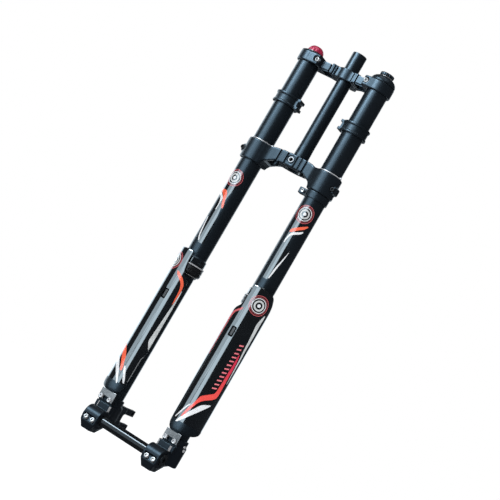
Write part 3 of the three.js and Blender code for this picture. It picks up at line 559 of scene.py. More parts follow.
def film_grid(name, X, A, Z, R, body, mat, th):
    """A closed film over a grid of polar angles (degrees) and heights."""
    A, Z = np.radians(A), np.asarray(Z, float)
    R = R(Z) if callable(R) else np.full(Z.shape, float(R))
    m, n = A.shape
    V = []
    for r in (R + th, R - 0.14):
        V.append(np.stack([X + r * np.cos(A), LY + r * np.sin(A), Z], -1).reshape(-1, 3))
    V = np.concatenate(V)
    g = np.arange(m * n).reshape(m, n)
    F = []
    for i in range(m - 1):
        for j in range(n - 1):
            F.append((g[i, j], g[i + 1, j], g[i + 1, j + 1], g[i, j + 1]))
            F.append((g[i, j] + m * n, g[i, j + 1] + m * n, g[i + 1, j + 1] + m * n, g[i + 1, j] + m * n))
    rim = [g[0, j] for j in range(n)] + [g[i, n - 1] for i in range(1, m)] + [g[m - 1, j] for j in range(n - 2, -1, -1)] + [g[i, 0] for i in range(m - 2, 0, -1)]
    for a, b in zip(rim, rim[1:] + rim[:1]):
        F.append((a, b, b + m * n, a + m * n))
    F = [tuple(int(q) for q in f) for f in F]
    return commit(name, V, F, body, mat, (), 60.0)


def smooth_rows(rows, step=2.5):
    """Catmull-Rom through the rows, so that a stripe's edges bend instead of kinking."""
    P = np.array(rows, float)
    P = np.concatenate([[2 * P[0] - P[1]], P, [2 * P[-1] - P[-2]]])
    out = []
    for i in range(1, len(P) - 2):
        k = max(2, int(math.ceil(abs(P[i + 1][0] - P[i][0]) / step)))
        for t in np.arange(k) / k:
            out.append(0.5 * (2 * P[i] + (P[i + 1] - P[i - 1]) * t + (2 * P[i - 1] - 5 * P[i] + 4 * P[i + 1] - P[i + 2]) * t * t + (3 * P[i] - P[i - 1] - 3 * P[i + 1] + P[i + 2]) * t ** 3))
    out.append(P[-2])
    return np.array(out)


def stripe(name, X, rows, R, body, mat, th=0.14):
    """rows: (height of left edge, its angle, height of right edge, its angle)."""
    P = smooth_rows(rows)
    wide = float(np.max(np.abs(P[:, 3] - P[:, 1]))) * 0.0175 * 30
    n = max(3, int(math.ceil(wide / 1.2)) + 1)
    t = np.linspace(0, 1, n)[None, :]
    A = P[:, 1:2] * (1 - t) + P[:, 3:4] * t
    Z = P[:, 0:1] * (1 - t) + P[:, 2:3] * t
    return film_grid(name, X, A, Z, R, body, mat, th)


def ringlet(name, X, a0, z0, r0, r1, R, body, mat, th=0.14, squeeze=1.0):
    """A printed ring, or a disc when r0 is 0, centred at angle a0 and height z0."""
    n = 72
    ph = np.linspace(0, 2 * math.pi, n, endpoint=False)
    rad = [r1, (r0 + r1) / 2, r0] if r0 > 0 else [r1, r1 * 0.66, r1 * 0.33]
    RR = R(np.array([z0]))[0] if callable(R) else R
    V, F = [], []
    for r_ in (RR + th, RR - 0.14):
        for q in rad:
            a = math.radians(a0) + squeeze * q * np.cos(ph) / RR
            V += list(zip(X + r_ * np.cos(a), LY + r_ * np.sin(a), z0 + q * np.sin(ph)))
        if r0 == 0:
            a = math.radians(a0)
            V.append((X + r_ * math.cos(a), LY + r_ * math.sin(a), z0))
    per = len(V) // 2
    for L in (0, per):
        for i in range(len(rad) - 1):
            for j in range(n):
                k = (j + 1) % n
                f = (L + i * n + j, L + i * n + k, L + (i + 1) * n + k, L + (i + 1) * n + j)
                F.append(f if L == 0 else tuple(reversed(f)))
        if r0 == 0:
            for j in range(n):
                f = (L + 2 * n + j, L + 2 * n + (j + 1) % n, L + 3 * n)
                F.append(f if L == 0 else tuple(reversed(f)))
    for j in range(n):
        k = (j + 1) % n
        F.append((per + j, per + k, k, j))
        if r0 > 0:
            F.append((2 * n + j, 2 * n + k, per + 2 * n + k, per + 2 * n + j))
    return commit(name, V, F, body, mat, (), 60.0)


# ------------------------------------------------------------------ the two legs
GUARD_ROWS = [(-244, -101, -62), (-247, -101, -25), (-259, -101, -3), (-275, -104, 14), (-287, -110, 24), (-294, -124, 30), (-304, -138, 35),
              (-330, -139, 36), (-400, -139, 36), (-450, -139, 36), (-466, -134, 36), (-510, -133, 35), (-518, -131, 27), (-525, -129, 11), (-530, -125, -9), (-534, -121, -31), (-537, -115, -54), (-539, -111, -67)]


def guard(k, leg):
    rows = np.array(GUARD_ROWS, float)
    zs = np.concatenate([np.linspace(-244, -310, 50), np.linspace(-312, -502, 60), np.linspace(-504, -539, 28)])
    dz = np.gradient(rows[:, 0])
    def edge(c):
        # monotone cubic through the rows
        x, y = rows[::-1, 0], rows[::-1, c]
        h, d = np.diff(x), np.diff(y) / np.diff(x)
        m = np.zeros(len(x))
        for i in range(1, len(x) - 1):
            if d[i - 1] * d[i] > 0:
                w1, w2 = 2 * h[i] + h[i - 1], h[i] + 2 * h[i - 1]
                m[i] = (w1 + w2) / (w1 / d[i - 1] + w2 / d[i])
        m[0], m[-1] = d[0], d[-1]
        j = np.clip(np.searchsorted(x, zs) - 1, 0, len(h) - 1)
        t = (zs - x[j]) / h[j]
        return ((1 + 2 * t) * (1 - t) ** 2 * y[j] + t * (1 - t) ** 2 * h[j] * m[j] + t * t * (3 - 2 * t) * y[j + 1] + t * t * (t - 1) * h[j] * m[j + 1])
    a0, a1 = edge(1), edge(2)
    T, E = 2.6, 6
    ac = -90.0 if k > 0 else -96.0
    crease = ac + np.array([-2.8, -2.2, -1.5, -0.7, 0, 0.7, 1.5, 2.2, 2.8])
    N = 26 + len(crease) + 44
    V, F, ring = [], [], []
    for i, z in enumerate(zs):
        # round the top and bottom edges by thinning the wall there
        dist = min(abs(z - zs[0]), abs(z - zs[-1]))
        q = min(1.0, math.sqrt(max(0.0, 1 - (1 - min(1.0, (dist + 0.08) / 1.3)) ** 2)))
        ro, t = float(guard_radius(z)), (T - 1.4 * min(1.0, max(0.0, (-526 - z) / 11.0))) * q
        line = min(1.0, max(0.0, (-372 - z) / 60.0)) * min(1.0, max(0.0, (z + 516) / 8.0)) + 0.55 * max(0.0, 1 - abs(z + 300) / 22.0)
        angs = np.concatenate([np.linspace(a0[i], ac - 3.4, 26), crease, np.linspace(ac + 3.4, a1[i], 44)])
        mid = ro - T / 2
        pts = []
        for a in angs:
            pts.append((mid + t / 2 - 0.34 * line * max(0.0, 1 - abs(a - ac) / 2.2), a))
        for e in np.linspace(90, -90, E + 2)[1:-1]:
            pts.append((mid + t / 2 * math.sin(math.radians(e)), a1[i] + math.degrees(t / 2 * math.cos(math.radians(e)) / ro) * 0.9))
        for a in angs[::-1]:
            pts.append((mid - t / 2, a))
        for e in np.linspace(-90, 90, E + 2)[1:-1]:
            pts.append((mid + t / 2 * math.sin(math.radians(e)), a0[i] - math.degrees(t / 2 * math.cos(math.radians(e)) / ro) * 0.9))
        ring.append(range(len(V), len(V) + len(pts)))
        V += [(k * (LX + r * math.cos(math.radians(a))), LY + r * math.sin(math.radians(a)), z) for r, a in pts]
    P = len(ring[0])
    for i in range(len(zs) - 1):
        for j in range(P):
            F.append((ring[i][j], ring[i][(j + 1) % P], ring[i + 1][(j + 1) % P], ring[i + 1][j]))
    for rg in (ring[0], ring[-1]):
        # the end strip between the outer and inner faces
        o = list(rg[:N])
        inn = list(rg[N + E:2 * N + E])[::-1]
        for j in range(N - 1):
            F.append((o[j], o[j + 1], inn[j + 1], inn[j]) if rg is ring[-1] else (o[j], inn[j], inn[j + 1], o[j + 1]))
        right_end = [o[-1]] + list(rg[N:N + E]) + [inn[-1]]
        left_end = [inn[0]] + list(rg[2 * N + E:]) + [o[0]]
        F.append(tuple(right_end) if rg is ring[-1] else tuple(reversed(right_end)))
        F.append(tuple(left_end) if rg is ring[-1] else tuple(reversed(left_end)))
    if k < 0:
        F = [tuple(reversed(f)) for f in F]
    V = np.array(V)
    vol = sum(float(np.dot(V[f[0]], np.cross(V[f[i]], V[f[i + 1]]))) for f in F for i in range(1, len(f) - 1))
    if vol < 0:
        F = [tuple(reversed(f)) for f in F]
    ob = commit("%s_guard_shell" % leg, V, F, "lowers", "guard", ["%s_guard" % leg], 40.0)
    ob.data.materials.append(M["guardmatt"])
    # vent window cut through the shell
    for pl in ob.data.polygons:
        c = pl.center
        if c.z < -0.5185 or math.hypot(c.x - k * LX * MM, c.y - LY * MM) < 0.0295:
            pl.material_index = 1
    wx, wz = k * (LX + 31 * math.cos(math.radians(-87))), -336.5
    def win(x, z, w, h, r, n=6):
        pts = []
        for cx, cz, a in ((w / 2 - r, h / 2 - r, 0), (-w / 2 + r, h / 2 - r, 90), (-w / 2 + r, -h / 2 + r, 180), (w / 2 - r, -h / 2 + r, 270)):
            pts += [(x + cx + r * math.cos(math.radians(a + 90 * i / n)), z + cz + r * math.sin(math.radians(a + 90 * i / n))) for i in range(n + 1)]
        return pts
    prism = lambda pts, y0, y1: (np.array([(a, y0, b) for a, b in pts] + [(a, y1, b) for a, b in pts], float),
                                 [tuple(range(len(pts)))] + [tuple(range(2 * len(pts) - 1, len(pts) - 1, -1))] + [(i, len(pts) + i, len(pts) + (i + 1) % len(pts), (i + 1) % len(pts)) for i in range(len(pts))])
    Vc, Fc = prism(win(wx, wz, 10.0, 19.8, 2.2), -50, -38)
    cm = bpy.data.meshes.new("cut")
    cm.from_pydata((Vc * MM).tolist(), [], Fc)
    cm.update()
    import bmesh
    bm = bmesh.new()
    bm.from_mesh(cm)
    bmesh.ops.recalc_face_normals(bm, faces=bm.faces)
    bm.to_mesh(cm)
    bm.free()
    cutter = bpy.data.objects.new("cutter", cm)
    bpy.context.scene.collection.objects.link(cutter)
    mod = ob.modifiers.new("window", "BOOLEAN")
    mod.operation, mod.solver, mod.object = "DIFFERENCE", "EXACT", cutter
    bpy.context.view_layer.update()
    dg = bpy.context.evaluated_depsgraph_get()
    res = bpy.data.meshes.new_from_object(ob.evaluated_get(dg))
    ob.modifiers.clear()
    old = ob.data
    ob.data = res
    bpy.data.meshes.remove(old)
    bpy.data.objects.remove(cutter)
    bpy.data.meshes.remove(cm)
    # a plug that sits in the window with a dark gap round it
    V2, F2 = [], []
    outline = win(wx, wz, 5.2, 14.6, 1.2)
    n = len(outline)
    cx, cz = wx, wz
    for yy, sc in ((-41.2, 1.0), (-44.0, 1.0), (-44.4, 0.93), (-44.5, 0.80)):
        V2 += [(cx + (a - cx) * sc, yy, cz + (b - cz) * (1 - (1 - sc) * 0.42)) for a, b in outline]
    F2.append(tuple(range(n)))
    for q in range(3):
        F2 += [(q * n + i, q * n + (i + 1) % n, (q + 1) * n + (i + 1) % n, (q + 1) * n + i) for i in range(n)]
    F2.append(tuple(range(4 * n - 1, 3 * n - 1, -1)))
    V2 = np.array(V2)
    for v in V2:  # follow the shell's curve
        v[1] = v[1] + (31 - math.sqrt(max(0.0, 31 ** 2 - (abs(v[0]) - LX) ** 2)))
    commit("%s_guard_plug" % leg, V2, F2, "lowers", "plug", (), 35.0)
    # riveted pad behind the tongue of the bracket
    carve("%s_guard_pad" % leg, lambda x, y, z: block(x, y, z, k * LX - 7.5, k * LX + 7.5, -43.3, -42.05, -534, -523.5, 0.4),
          (k * LX - 7.5, -43.3, -534), (k * LX + 7.5, -42.05, -523.5), 0.4, "lowers", "plug", ())
    return ob


def lug(k):
    bolts = [64.2, 79.2]
    c28, s28 = math.cos(math.radians(28)), math.sin(math.radians(28))
    SIDE = [(-66, -592), (-66, -604.5), (-60, -618.5), (-38, -618.5), (-30, -603), (-2, -596), (-2, -560), (-34, -565), (-37.5, -577), (-50, -580)]
    FRONT = [(55, -555), (55, -604), (62, -618.5), (81.5, -618.5), (88, -603.5), (88, -555)]
    PLAN = [(55.6, -10), (55.6, -37), (60.6, -42), (83.6, -42), (88.6, -37), (88.6, -10)]
    TROUGH = [(-72.9, -587.2), (-59.7, -594.2), (-64.6, -603.4), (-77.7, -596.4)]

    def f(x, y, z):
        X = x * k
        rho = np.hypot(X - LX, y - LY)
        s = poly(rho, z, [(0, -597), (22.0, -597), (23.6, -595), (23.6, -558), (21.6, -555.6), (21.6, -546), (0, -546)]) - 0.0
        bar = ext(np.hypot(y - AXY, z - AXZ) - 18, span(X, 55, 88), 1.2)
        web = smax(poly(y, z, SIDE), poly(X, z, FRONT), 2.2)
        s = smin(s, smin(bar, web, 2.5), 3.0)
        s = smin(s, ext(poly(X, y, PLAN), span(z, -574.6, -562), 0.9), 1.2)
        s = smin(s, block(X, y, z, LX - 16, LX + 16, -39.0, -15, -574, -547.5, 1.2), 1.0)
        if k < 0:
            e = smin(block(X, y, z, 59.5, 68, 0, 56, -566, -554, 1.2), block(X, y, z, 59.5, 68, 0, 56, -599, -583, 1.2), 0.5)
            e = smin(e, ext(poly(X, y, [(68, -2), (59.5, -2), (59.5, 20), (64, 14), (68, 14)]), span(z, -599, -554), 1.2), 4.0)
            s = smin(s, e, 3.0)
        s = smax(s, -rod(X, y, z, LX, LY, 18.2, -588.2, -500, 0.0), 0.7)
        s = smax(s, -(np.maximum(np.hypot(X - LX, y - LY) - 4.3, z + 580)), 0.4)
        s = smax(s, -(np.maximum(np.hypot(X - LX, y - LY) - 7.2, z + 594)), 0.5)
        s = smax(s, -(np.hypot(y - AXY, z - AXZ) - 10.2), 0.8)
        s = smax(s, -np.maximum(span(y, AXY - 0.9, AXY + 0.9), z - (AXZ - 4)), 0.3)
        s = smax(s, -np.maximum(poly(y, z, TROUGH), span(X, 58.9, 84.5)), 0.8)
        s = smax(s, 54.3 - X, 1.0)
        s = smax(s, -block(X, y, z, LX - 4.9, LX + 4.9, -50, -37.4, -562.4, -549.6, 0.6), 0.4)
        s = smax(s, -block(X, y, z, LX - 30, LX + 30, -50, -34.5, -562.2, -559.4, 0.4), 0.4)
        for dx in (-9.7, 9.7):
            s = smax(s, -slanted(X, y, z, (LX + dx, -45, -553.7), (LX + dx, -32, -553.7), 2.5), 0.3)
        for bx in bolts:
            s = smax(s, -slanted(X, y, z, (bx, -70, -594.6), (bx, -70 + 42 * c28, -594.6 - 42 * s28), 3.0), 0.3)
        if k < 0:
            for zz in (-560, -591):
                s = smax(s, -np.maximum(np.hypot(y - 48, z - zz) - 3.2, -(y - 30)), 0.6)
        return s
    return f


TUBE_Z = (-267.6, -250, 186.5)
for k, leg in LEGS:
    X = k * LX
    # upper tube with its seal head, turned grooves below the lower crown and round the seal head
    lathe("%s_upper_tube_turned" % leg, [
        (19.4, -267.6), (23.2, -267.6, 0.3), (23.2, -264.6, 0.3), (22.5, -264.2, 0.3), (22.5, -262.4, 0.3), (23.2, -262, 0.3), (23.2, -252.5, 0.5), (21, -250.2, 1.2),
        (21, 186.5, 0.3), (19.4, 186.5, 0.3)], "uppers", "satin", ["%s_upper_tube" % leg], X, LY, 128, 0.4)
    lathe("%s_seal_head_band" % leg, [(22.3, -264.1), (23.27, -264.1, 0.15), (23.27, -262.9, 0.1), (22.9, -262.6, 0.1), (22.9, -261.6, 0.1), (23.27, -261.3, 0.1), (23.27, -253.2, 0.4), (22.3, -252.9)], "uppers", "film", (), X, LY, 128, 0.03, 2)
    # frame bump stop
    def stop(x, y, z, X=X, k=k):
        rho = np.hypot(x - X, y - LY)
        s = poly(rho, z, [(21.3, 77), (25.6, 77), (25.6, 80.2), (23.9, 82.2), (23.9, 92.3), (25.6, 94.3), (25.6, 97.5), (21.3, 97.5)])
        u = (X - x) * k
        b = smax(poly(u, z, [(30.9, 77), (30.9, 82.0), (27.2, 83.4), (27.2, 91.4), (30.9, 92.6), (30.9, 97.5), (20, 97.5), (20, 77)]), span(y, LY - 10.5, LY + 10.5), 0.8)
        b = smax(b, -(rho - 21.3), 0.6)
        s = smax(smin(s, b, 2.2), -(rho - 21.25), 0.5)
        return s
    carve("%s_bump_stop_moulded" % leg, stop, (X - 31.5, LY - 26, 76), (X + 31.5, LY + 26, 98.5), FINE, "uppers", "stop", ["%s_bump_stop" % leg])
    # snap ring on top of the lower crown, open at the front
    th = np.linspace(math.radians(-236), math.radians(72), 100)
    sec = fillet([(21.25, -4.7), (22.9, -4.7), (22.9, -2.9), (21.25, -2.9)], 0.35, 2)
    V = [(X + r_ * math.cos(t), LY + r_ * math.sin(t), z_) for t in th for r_, z_ in sec]
    n = len(sec)
    F = [(i * n + j, i * n + (j + 1) % n, (i + 1) * n + (j + 1) % n, (i + 1) * n + j) for i in range(len(th) - 1) for j in range(n)]
    F += [tuple(range(n - 1, -1, -1)), tuple((len(th) - 1) * n + j for j in range(n))]
    commit("%s_snap_ring" % leg, V, F, "uppers", "ringsteel", ["%s_locating_ring" % leg])
    nub = math.radians(-6)
    nx, ny = X + 23.2 * math.cos(nub), LY + 23.2 * math.sin(nub)
    carve("%s_snap_ring_nub" % leg, lambda x, y, z, nx=nx, ny=ny: block(x, y, z, nx - 1.7, nx + 1.7, ny - 2.2, ny + 2.2, -4.7, -1.6, 0.7), (nx - 1.7, ny - 2.2, -4.7), (nx + 1.7, ny + 2.2, -1.6), 0.45,
          "uppers", "ringsteel", ())
    # dust wiper with lips and a garter spring; its steel ring
    lathe("%s_wiper_moulded" % leg, [
        (18.3, -288.5, 0.2), (19.6, -288.4, 0.4), (20.4, -286.6, 0.4), (21.0, -284.9, 0.5), (23.4, -284.5, 0.5), (24.9, -282.6, 0.6), (25.3, -281.2, 0.4), (25.3, -277.8, 0.3), (24.7, -277.3, 0.2),
        (24.7, -275.9, 0.2), (25.3, -275.4, 0.3), (25.3, -271.4, 0.3), (24.8, -270.9, 0.2), (24.8, -270, 0.2), (25.3, -269.4, 0.3), (25.3, -267.9, 0.4), (18.3, -267.9, 0.3)],
        "uppers", "rubber", ["%s_dust_wiper" % leg], X, LY, 128, 0.3)
    lathe("%s_wiper_garter" % leg, [(r_, z_) for r_, z_ in [(20.35 + 0.6 * math.cos(a), -285.9 + 0.6 * math.sin(a)) for a in np.linspace(0, 2 * math.pi, 9)[:-1]]],
          "uppers", "steel", (), X, LY, 120, 0.0)
    lathe("%s_wiper_band" % leg, [(23.5, -267.4), (25.7, -267.4, 0.4), (25.7, -265.3, 0.4), (23.5, -265.3)], "uppers", "ringsteel", ["%s_wiper_ring" % leg], X, LY, 128, 0.3)
    # sliding inner tube
    lathe("%s_stanchion_ground" % leg, [(16, -588), (18, -588, 0.4), (18, -59.2), (17.2, -58, 0.3), (16, -58)], "lowers", "stanchion", ["%s_stanchion" % leg], X, LY, 128, 0.3)
    # axle lug
    lo = (min(k * 54, k * 101), -80, -619) if k > 0 else (-101, -80, -619)
    hi = (101, 10, -545) if k > 0 else (-54, 57, -545)
    carve("%s_axle_lug_cast" % leg, lug(k), lo, hi, FINE, "lowers", "lug", ["%s_axle_lug" % leg])
    c28, s28 = math.cos(math.radians(28)), math.sin(math.radians(28))
    for i, bx in ((1, 64.2), (2, 79.2)):
        p = lambda t: (k * bx, -70 + t * c28, -594.6 - t * s28)
        screw("%s_pinch_screw_%d" % (leg, i), 4.35, 4.3, 2.75, p(4.3), p(33), "lowers", "steel", ["%s_pinch_bolt_%d" % (leg, i)], 0.2)
    for i, dx in ((1, -9.7), (2, 9.7)):
        screw("%s_bracket_screw_%d" % (leg, i), 4.2, 3, 2.3, (X + dx, -45, -553.7), (X + dx, -32.4, -553.7), "lowers", "ringsteel", ["%s_bracket_bolt_%d" % (leg, i)], 0.3)
    screw("%s_foot_screw" % leg, 6.6, 5, 3.9, (X, LY, -599.4), (X, LY, -579), "lowers", "blacksteel", ["%s_foot_bolt" % leg])
    # two small blanking screws on the outer side of the lug
    for i, zz in ((1, -555.5), (2, -561.5)):
        a = math.radians(-8)
        R0 = 21.4 if zz > -557 else 23.4
        lathe("%s_blanking_screw_%d" % (leg, i), [(0, -0.9), (2.9, -0.9, 0.2), (2.9, 1.1, 0.5), (1.4, 1.5, 0.2), (1.2, 0.8, 0.1), (0, 0.8)], "lowers", "ringsteel", (),
              seg=36, r=0.2, origin=(k * (LX + R0 * math.cos(a)), LY + R0 * math.sin(a), zz), axis=(k * math.cos(a), math.sin(a), 0))
    # bare machined facets at the two ends of the lug's front block
    for i, (xa, ya, xb, yb) in ((1, (83.9, -41.7, 86.6, -39.0)), (2, (60.3, -41.7, 57.6, -39.0))):
        nx, ny = (0.7071, -0.7071) if i == 1 else (-0.7071, -0.7071)
        V, n4 = [], 4
        for off, sc in ((-0.3, 1.0), (0.30, 1.0), (0.42, 0.94)):
            for fx, fz in ((-1, -1), (1, -1), (1, 1), (-1, 1)):
                t_, zz = 0.5 + 0.5 * fx * sc, -568.3 + 5.1 * fz * (1 - (1 - sc) * 0.6)
                V.append((k * (xa + (xb - xa) * t_ + nx * off), ya + (yb - ya) * t_ + ny * off, zz))
        F = [(3, 2, 1, 0)] + [(q * 4 + j, q * 4 + (j + 1) % 4, (q + 1) * 4 + (j + 1) % 4, (q + 1) * 4 + j) for q in range(2) for j in range(4)] + [(8, 9, 10, 11)]
        commit("%s_lug_facet_%d" % (leg, i), V, F, "lowers", "ringsteel", (), 25.0)
    # guard bracket: flat plate with a forked foot
    BR = [(-16, -557.4), (-6.0, -557.4), (-6.0, -550.4), (6.0, -550.4), (6.0, -557.4), (16, -557.4), (16, -538.2), (8, -538.2), (8, -522), (-8, -522), (-8, -538.2), (-16, -538.2)]

    def plate(x, y, z, X=X):
        s = ext(poly(x - X, z, BR) + 0.0, span(y, -41.7, -39.3), 0.45)
        for dx in (-9.7, 9.7):
            s = smax(s, -(np.hypot(x - X - dx, z + 553.7) - 2.6), 0.3)
        return s
    carve("%s_bracket_plate" % leg, plate, (X - 16.5, -42.2, -562), (X + 16.5, -38.8, -521.5), 0.6, "lowers", "plate", ["%s_guard_bracket" % leg], 40)
    guard(k, leg)

# ------------------------------------------------------------------ hose clamp on the right upper tube
def hose(x, y, z):
    rho = np.hypot(x - LX, y - LY)
    s = ext(np.abs(rho - 22.35) - 1.05, span(z, -60, -46.4), 0.7)
    e = block(x, y, z, 39.6, 56, LY - 7, LY + 6, -58.6, -46.6, 1.4)
    e = np.maximum(e, 21.3 - rho)
    s = smin(s, e, 1.0)
    s = smax(s, -np.maximum(span(y, LY - 0.7, LY + 0.7), x - 58), 0.3)
    s = smax(s, -(np.maximum(np.hypot(x - 48.5, z + 52.4) - 2.3, 0 * y)), 0.3)
    return s


carve("hose_clamp_moulded", hose, (39, -39, -61), (101, 9, -45.5), 0.7, "uppers", "crown", ["hose_clamp"])
screw("hose_clamp_screw", 3.6, 3, 1.95, (48.5, LY - 10.3, -52.4), (48.5, LY + 4, -52.4), "uppers", "steel", ["hose_clamp_bolt"], 0.2)

# ------------------------------------------------------------------ leg tops and adjusters
lathe("left_top_cap_turned", [(4.5, 160), (19.1, 160, 0.4), (19.1, 186.8, 0.1), (24.4, 187.4, 0.3), (24.4, 188.2, 0.4), (22.6, 189.2, 0.5), (19, 190.4, 0.4), (4.5, 190.4)],
      "uppers", "crown", ["left_top_cap"], -LX, LY, 128, 0.3)
lathe("rebound_knob_base", [(12.0, 190.45), (18.3, 190.45, 0.2), (18.0, 191.6, 0.3), (16.5, 192.3, 0.3), (12.0, 191.15)], "rebound_adjuster", "blacksteel", (), -LX, LY, 96, 0.2)


def fluted(th, r, z):
    w = np.clip((z - 191.5) / 2.0, 0, 1) * np.clip((203.6 - z) / 5.0, 0, 1)
    return r * (1 - 0.05 * w * (0.5 + 0.5 * np.cos(10 * th)) ** 2.0) if r > 2 else np.full_like(th, r)


lathe("rebound_knob_turned", [(0, 191.2), (16.0, 191.2, 0.3), (16.35, 192.2, 0.3), (16.3, 193.6, 0.8), (15.2, 197.2, 2.5), (12.8, 201.0, 2.5), (9.2, 203.9, 2.0), (6.2, 204.9, 0.8), (4.8, 204.9, 0.2), (4.6, 204.4, 0.2), (0, 204.4)],
      "rebound_adjuster", "red", ["rebound_knob"], -LX, LY, 160, 0.4, mod=fluted)
lathe("right_top_cap_turned", [(5, 160), (19.1, 160, 0.4), (19.1, 186.8, 0.1), (24.4, 187.4, 0.3), (24.4, 190.3, 0.8), (22.6, 194.4, 3), (19.6, 197.6, 3), (16.4, 199.7, 3), (12.2, 201, 0.8), (11.6, 201.0, 0.2), (5, 201.0)],
      "uppers", "crown", ["right_top_cap"], LX, LY, 128, 0.3)


def notched(th, r, z):
    if r < 10:
        return np.full_like(th, r)
    q = np.mod(th - 0.1 + math.pi / 12, math.pi / 6) - math.pi / 12
    return r - 1.5 * np.sqrt(np.clip(1 - (q * 14.1 / 1.75) ** 2, 0, 1)) * (1 if r > 12.5 else 0)


lathe("preload_knob_turned", [(0, 150), (4.4, 150, 0.3), (4.4, 201.45, 0.1), (9.2, 201.45, 0.2), (9.2, 203.1, 0.1), (13.1, 203.1, 0.2), (13.7, 203.8, 0.2), (13.7, 207.6, 0.4), (13.0, 208.4, 0.3), (8.5, 208.4, 0.3), (8.1, 207.7, 0.2), (0, 207.7)],
      "preload_adjuster", "crown", ["preload_knob"], LX, LY, 192, 0.3, mod=notched)
lathe("preload_knob_shim", [(9.4, 201.5), (11.2, 201.5, 0.2), (11.2, 202.6, 0.3), (9.4, 202.6)], "preload_adjuster", "steel", (), LX, LY, 96, 0.2)

# ------------------------------------------------------------------ through axle
seg = 96
V, F = lathe_mesh([(7.1, -86.5), (9.9, -86.5, 0.6), (9.9, 87.9, 0.1), (11.5, 88.3, 0.2), (11.5, 91, 0.7), (5.2, 91, 0.4), (4.7, 90.5, 0.2), (4.6, 80.5, 0.2), (7.1, 79, 0.2)], seg, 0.3,
                  mod=lambda th, r, z: hexagon(r * 0.93)(th) if (r < 5 and z > 80.2) else np.full_like(th, r))
commit("thru_axle_turned", aim(V, (0, AXY, AXZ), (1, 0, 0)), F, "axle", "axle", ["thru_axle"])

# ------------------------------------------------------------------ coil spring
# Its top turn lies 6.3 mm below the spacer, the room that the spacer's 6 mm of preload travel takes up.
turns, top, bottom, mean, wire = 13, 53.0, -349.4, 11.6, 2.2
t = np.linspace(0, 1, turns * 36 + 1)
zc = bottom + wire + t * (top - bottom - 2 * wire)
pitch = (top - bottom - 2 * wire) / turns
phi = 2 * math.pi * turns * t
lean = math.atan2(pitch, 2 * math.pi * mean)
V, F, q = [], [], 12
for a, z_ in zip(phi, zc):
    er = np.array([math.cos(a), math.sin(a), 0])
    et = np.array([-math.sin(a) * math.cos(lean), math.cos(a) * math.cos(lean), math.sin(lean)])
    en = np.cross(er, et)
    for b in range(q):
        c = 2 * math.pi * b / q
        V.append(np.array([LX, LY, z_]) + er * (mean + wire * math.cos(c)) + en * wire * math.sin(c))
for i in range(len(t) - 1):
    F += [(i * q + b, i * q + (b + 1) % q, (i + 1) * q + (b + 1) % q, (i + 1) * q + b) for b in range(q)]
F += [tuple(range(q - 1, -1, -1)), tuple((len(t) - 1) * q + b for b in range(q))]
V = np.array(V)
V[:, 2] = np.clip(V[:, 2], bottom, top)
coil = commit("main_spring_coil", V, F, "uppers", "spring", ["main_spring"], 60)
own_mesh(coil)

# ------------------------------------------------------------------ printed stripes, rings and bars (plain shapes, no lettering)
FT = 21.12
W = "uppers"
TS, GS = "satin_black", "guard_gloss"
stripe("left_tube_stripe_orange", -LX, [(-114.6, -145.6, -116.2, -99.5), (-118.4, -145.2, -120.1, -90.4), (-125.2, -109.9, -125.8, -84.7), (-134.9, -93.1, -135.1, -78.7), (-144.2, -84.5, -144.4, -71.4), (-149.9, -75.5, -149.9, -70.4)], FT, W, "orange")
stripe("left_tube_stripe_white", -LX, [(-122.1, -144.8, -122.8, -125.7), (-128.3, -129.4, -129.1, -104.7), (-132.5, -113.8, -132.9, -96.8), (-142, -103.2, -142.2, -96.7), (-156.8, -101.6, -156.9, -97.8)], FT, W, "white")
stripe("left_tube_line", -LX, [(-174.7, -126.9, -174.8, -120.3), (-193.3, -120, -193.5, -112), (-204.5, -115.2, -204.7, -106.6), (-211.9, -111, -212.1, -103), (-217.6, -104.3, -217.7, -97.7), (-221.3, -98.3, -221.4, -92.3)], FT, W, "white")
stripe("right_tube_stripe_orange", LX, [(-108.1, -33.2, -108, -26.1), (-110.1, -40.4, -109.8, -27.3), (-113.8, -55.7, -113.6, -34.4), (-117.4, -68.9, -117.3, -44.1), (-120.9, -82.8, -121, -58.2), (-124.3, -93.5, -124.6, -68.9), (-127.7, -99.3, -128.1, -79.8), (-131.3, -101.7, -131.5, -91.3)], FT, W, "orange")
stripe("right_tube_stripe_white", LX, [(-120.9, -41, -120.8, -35.6), (-124.6, -54.3, -124.4, -38.9), (-128.2, -71.9, -128.1, -49.3), (-131.6, -84.9, -131.8, -65.1), (-135.1, -92.4, -135.3, -78.8), (-138.6, -95.8, -138.8, -86), (-145.7, -99.4, -145.8, -91.9), (-152.8, -100, -152.9, -95.3)], FT, W, "white")
stripe("right_tube_line", LX, [(-165.7, -49.6, -165.7, -48), (-178.2, -56.6, -178.2, -51.6), (-187.2, -61.5, -187.2, -55.1), (-196.1, -67.4, -196.1, -59.1), (-205, -71.3, -205, -62.6), (-213.9, -73.3, -213.9, -66), (-222.8, -75.3, -222.8, -70.4)], FT, W, "white")
stripe("left_tube_film", -LX, [(-72.5, -128, -72.5, -74), (-76, -140, -76, -62), (-88, -146, -88, -51), (-100, -143, -100, -52), (-112, -136, -112, -67), (-125, -132, -125, -76), (-141, -122, -141, -79), (-157.5, -117, -157.5, -75), (-175, -114, -175, -68.5), (-190, -112, -190, -65.5), (-206.5, -108, -206.5, -64), (-219, -102, -219, -62.3), (-225, -92, -225, -64)], 20.99, W, "film", 0.12)
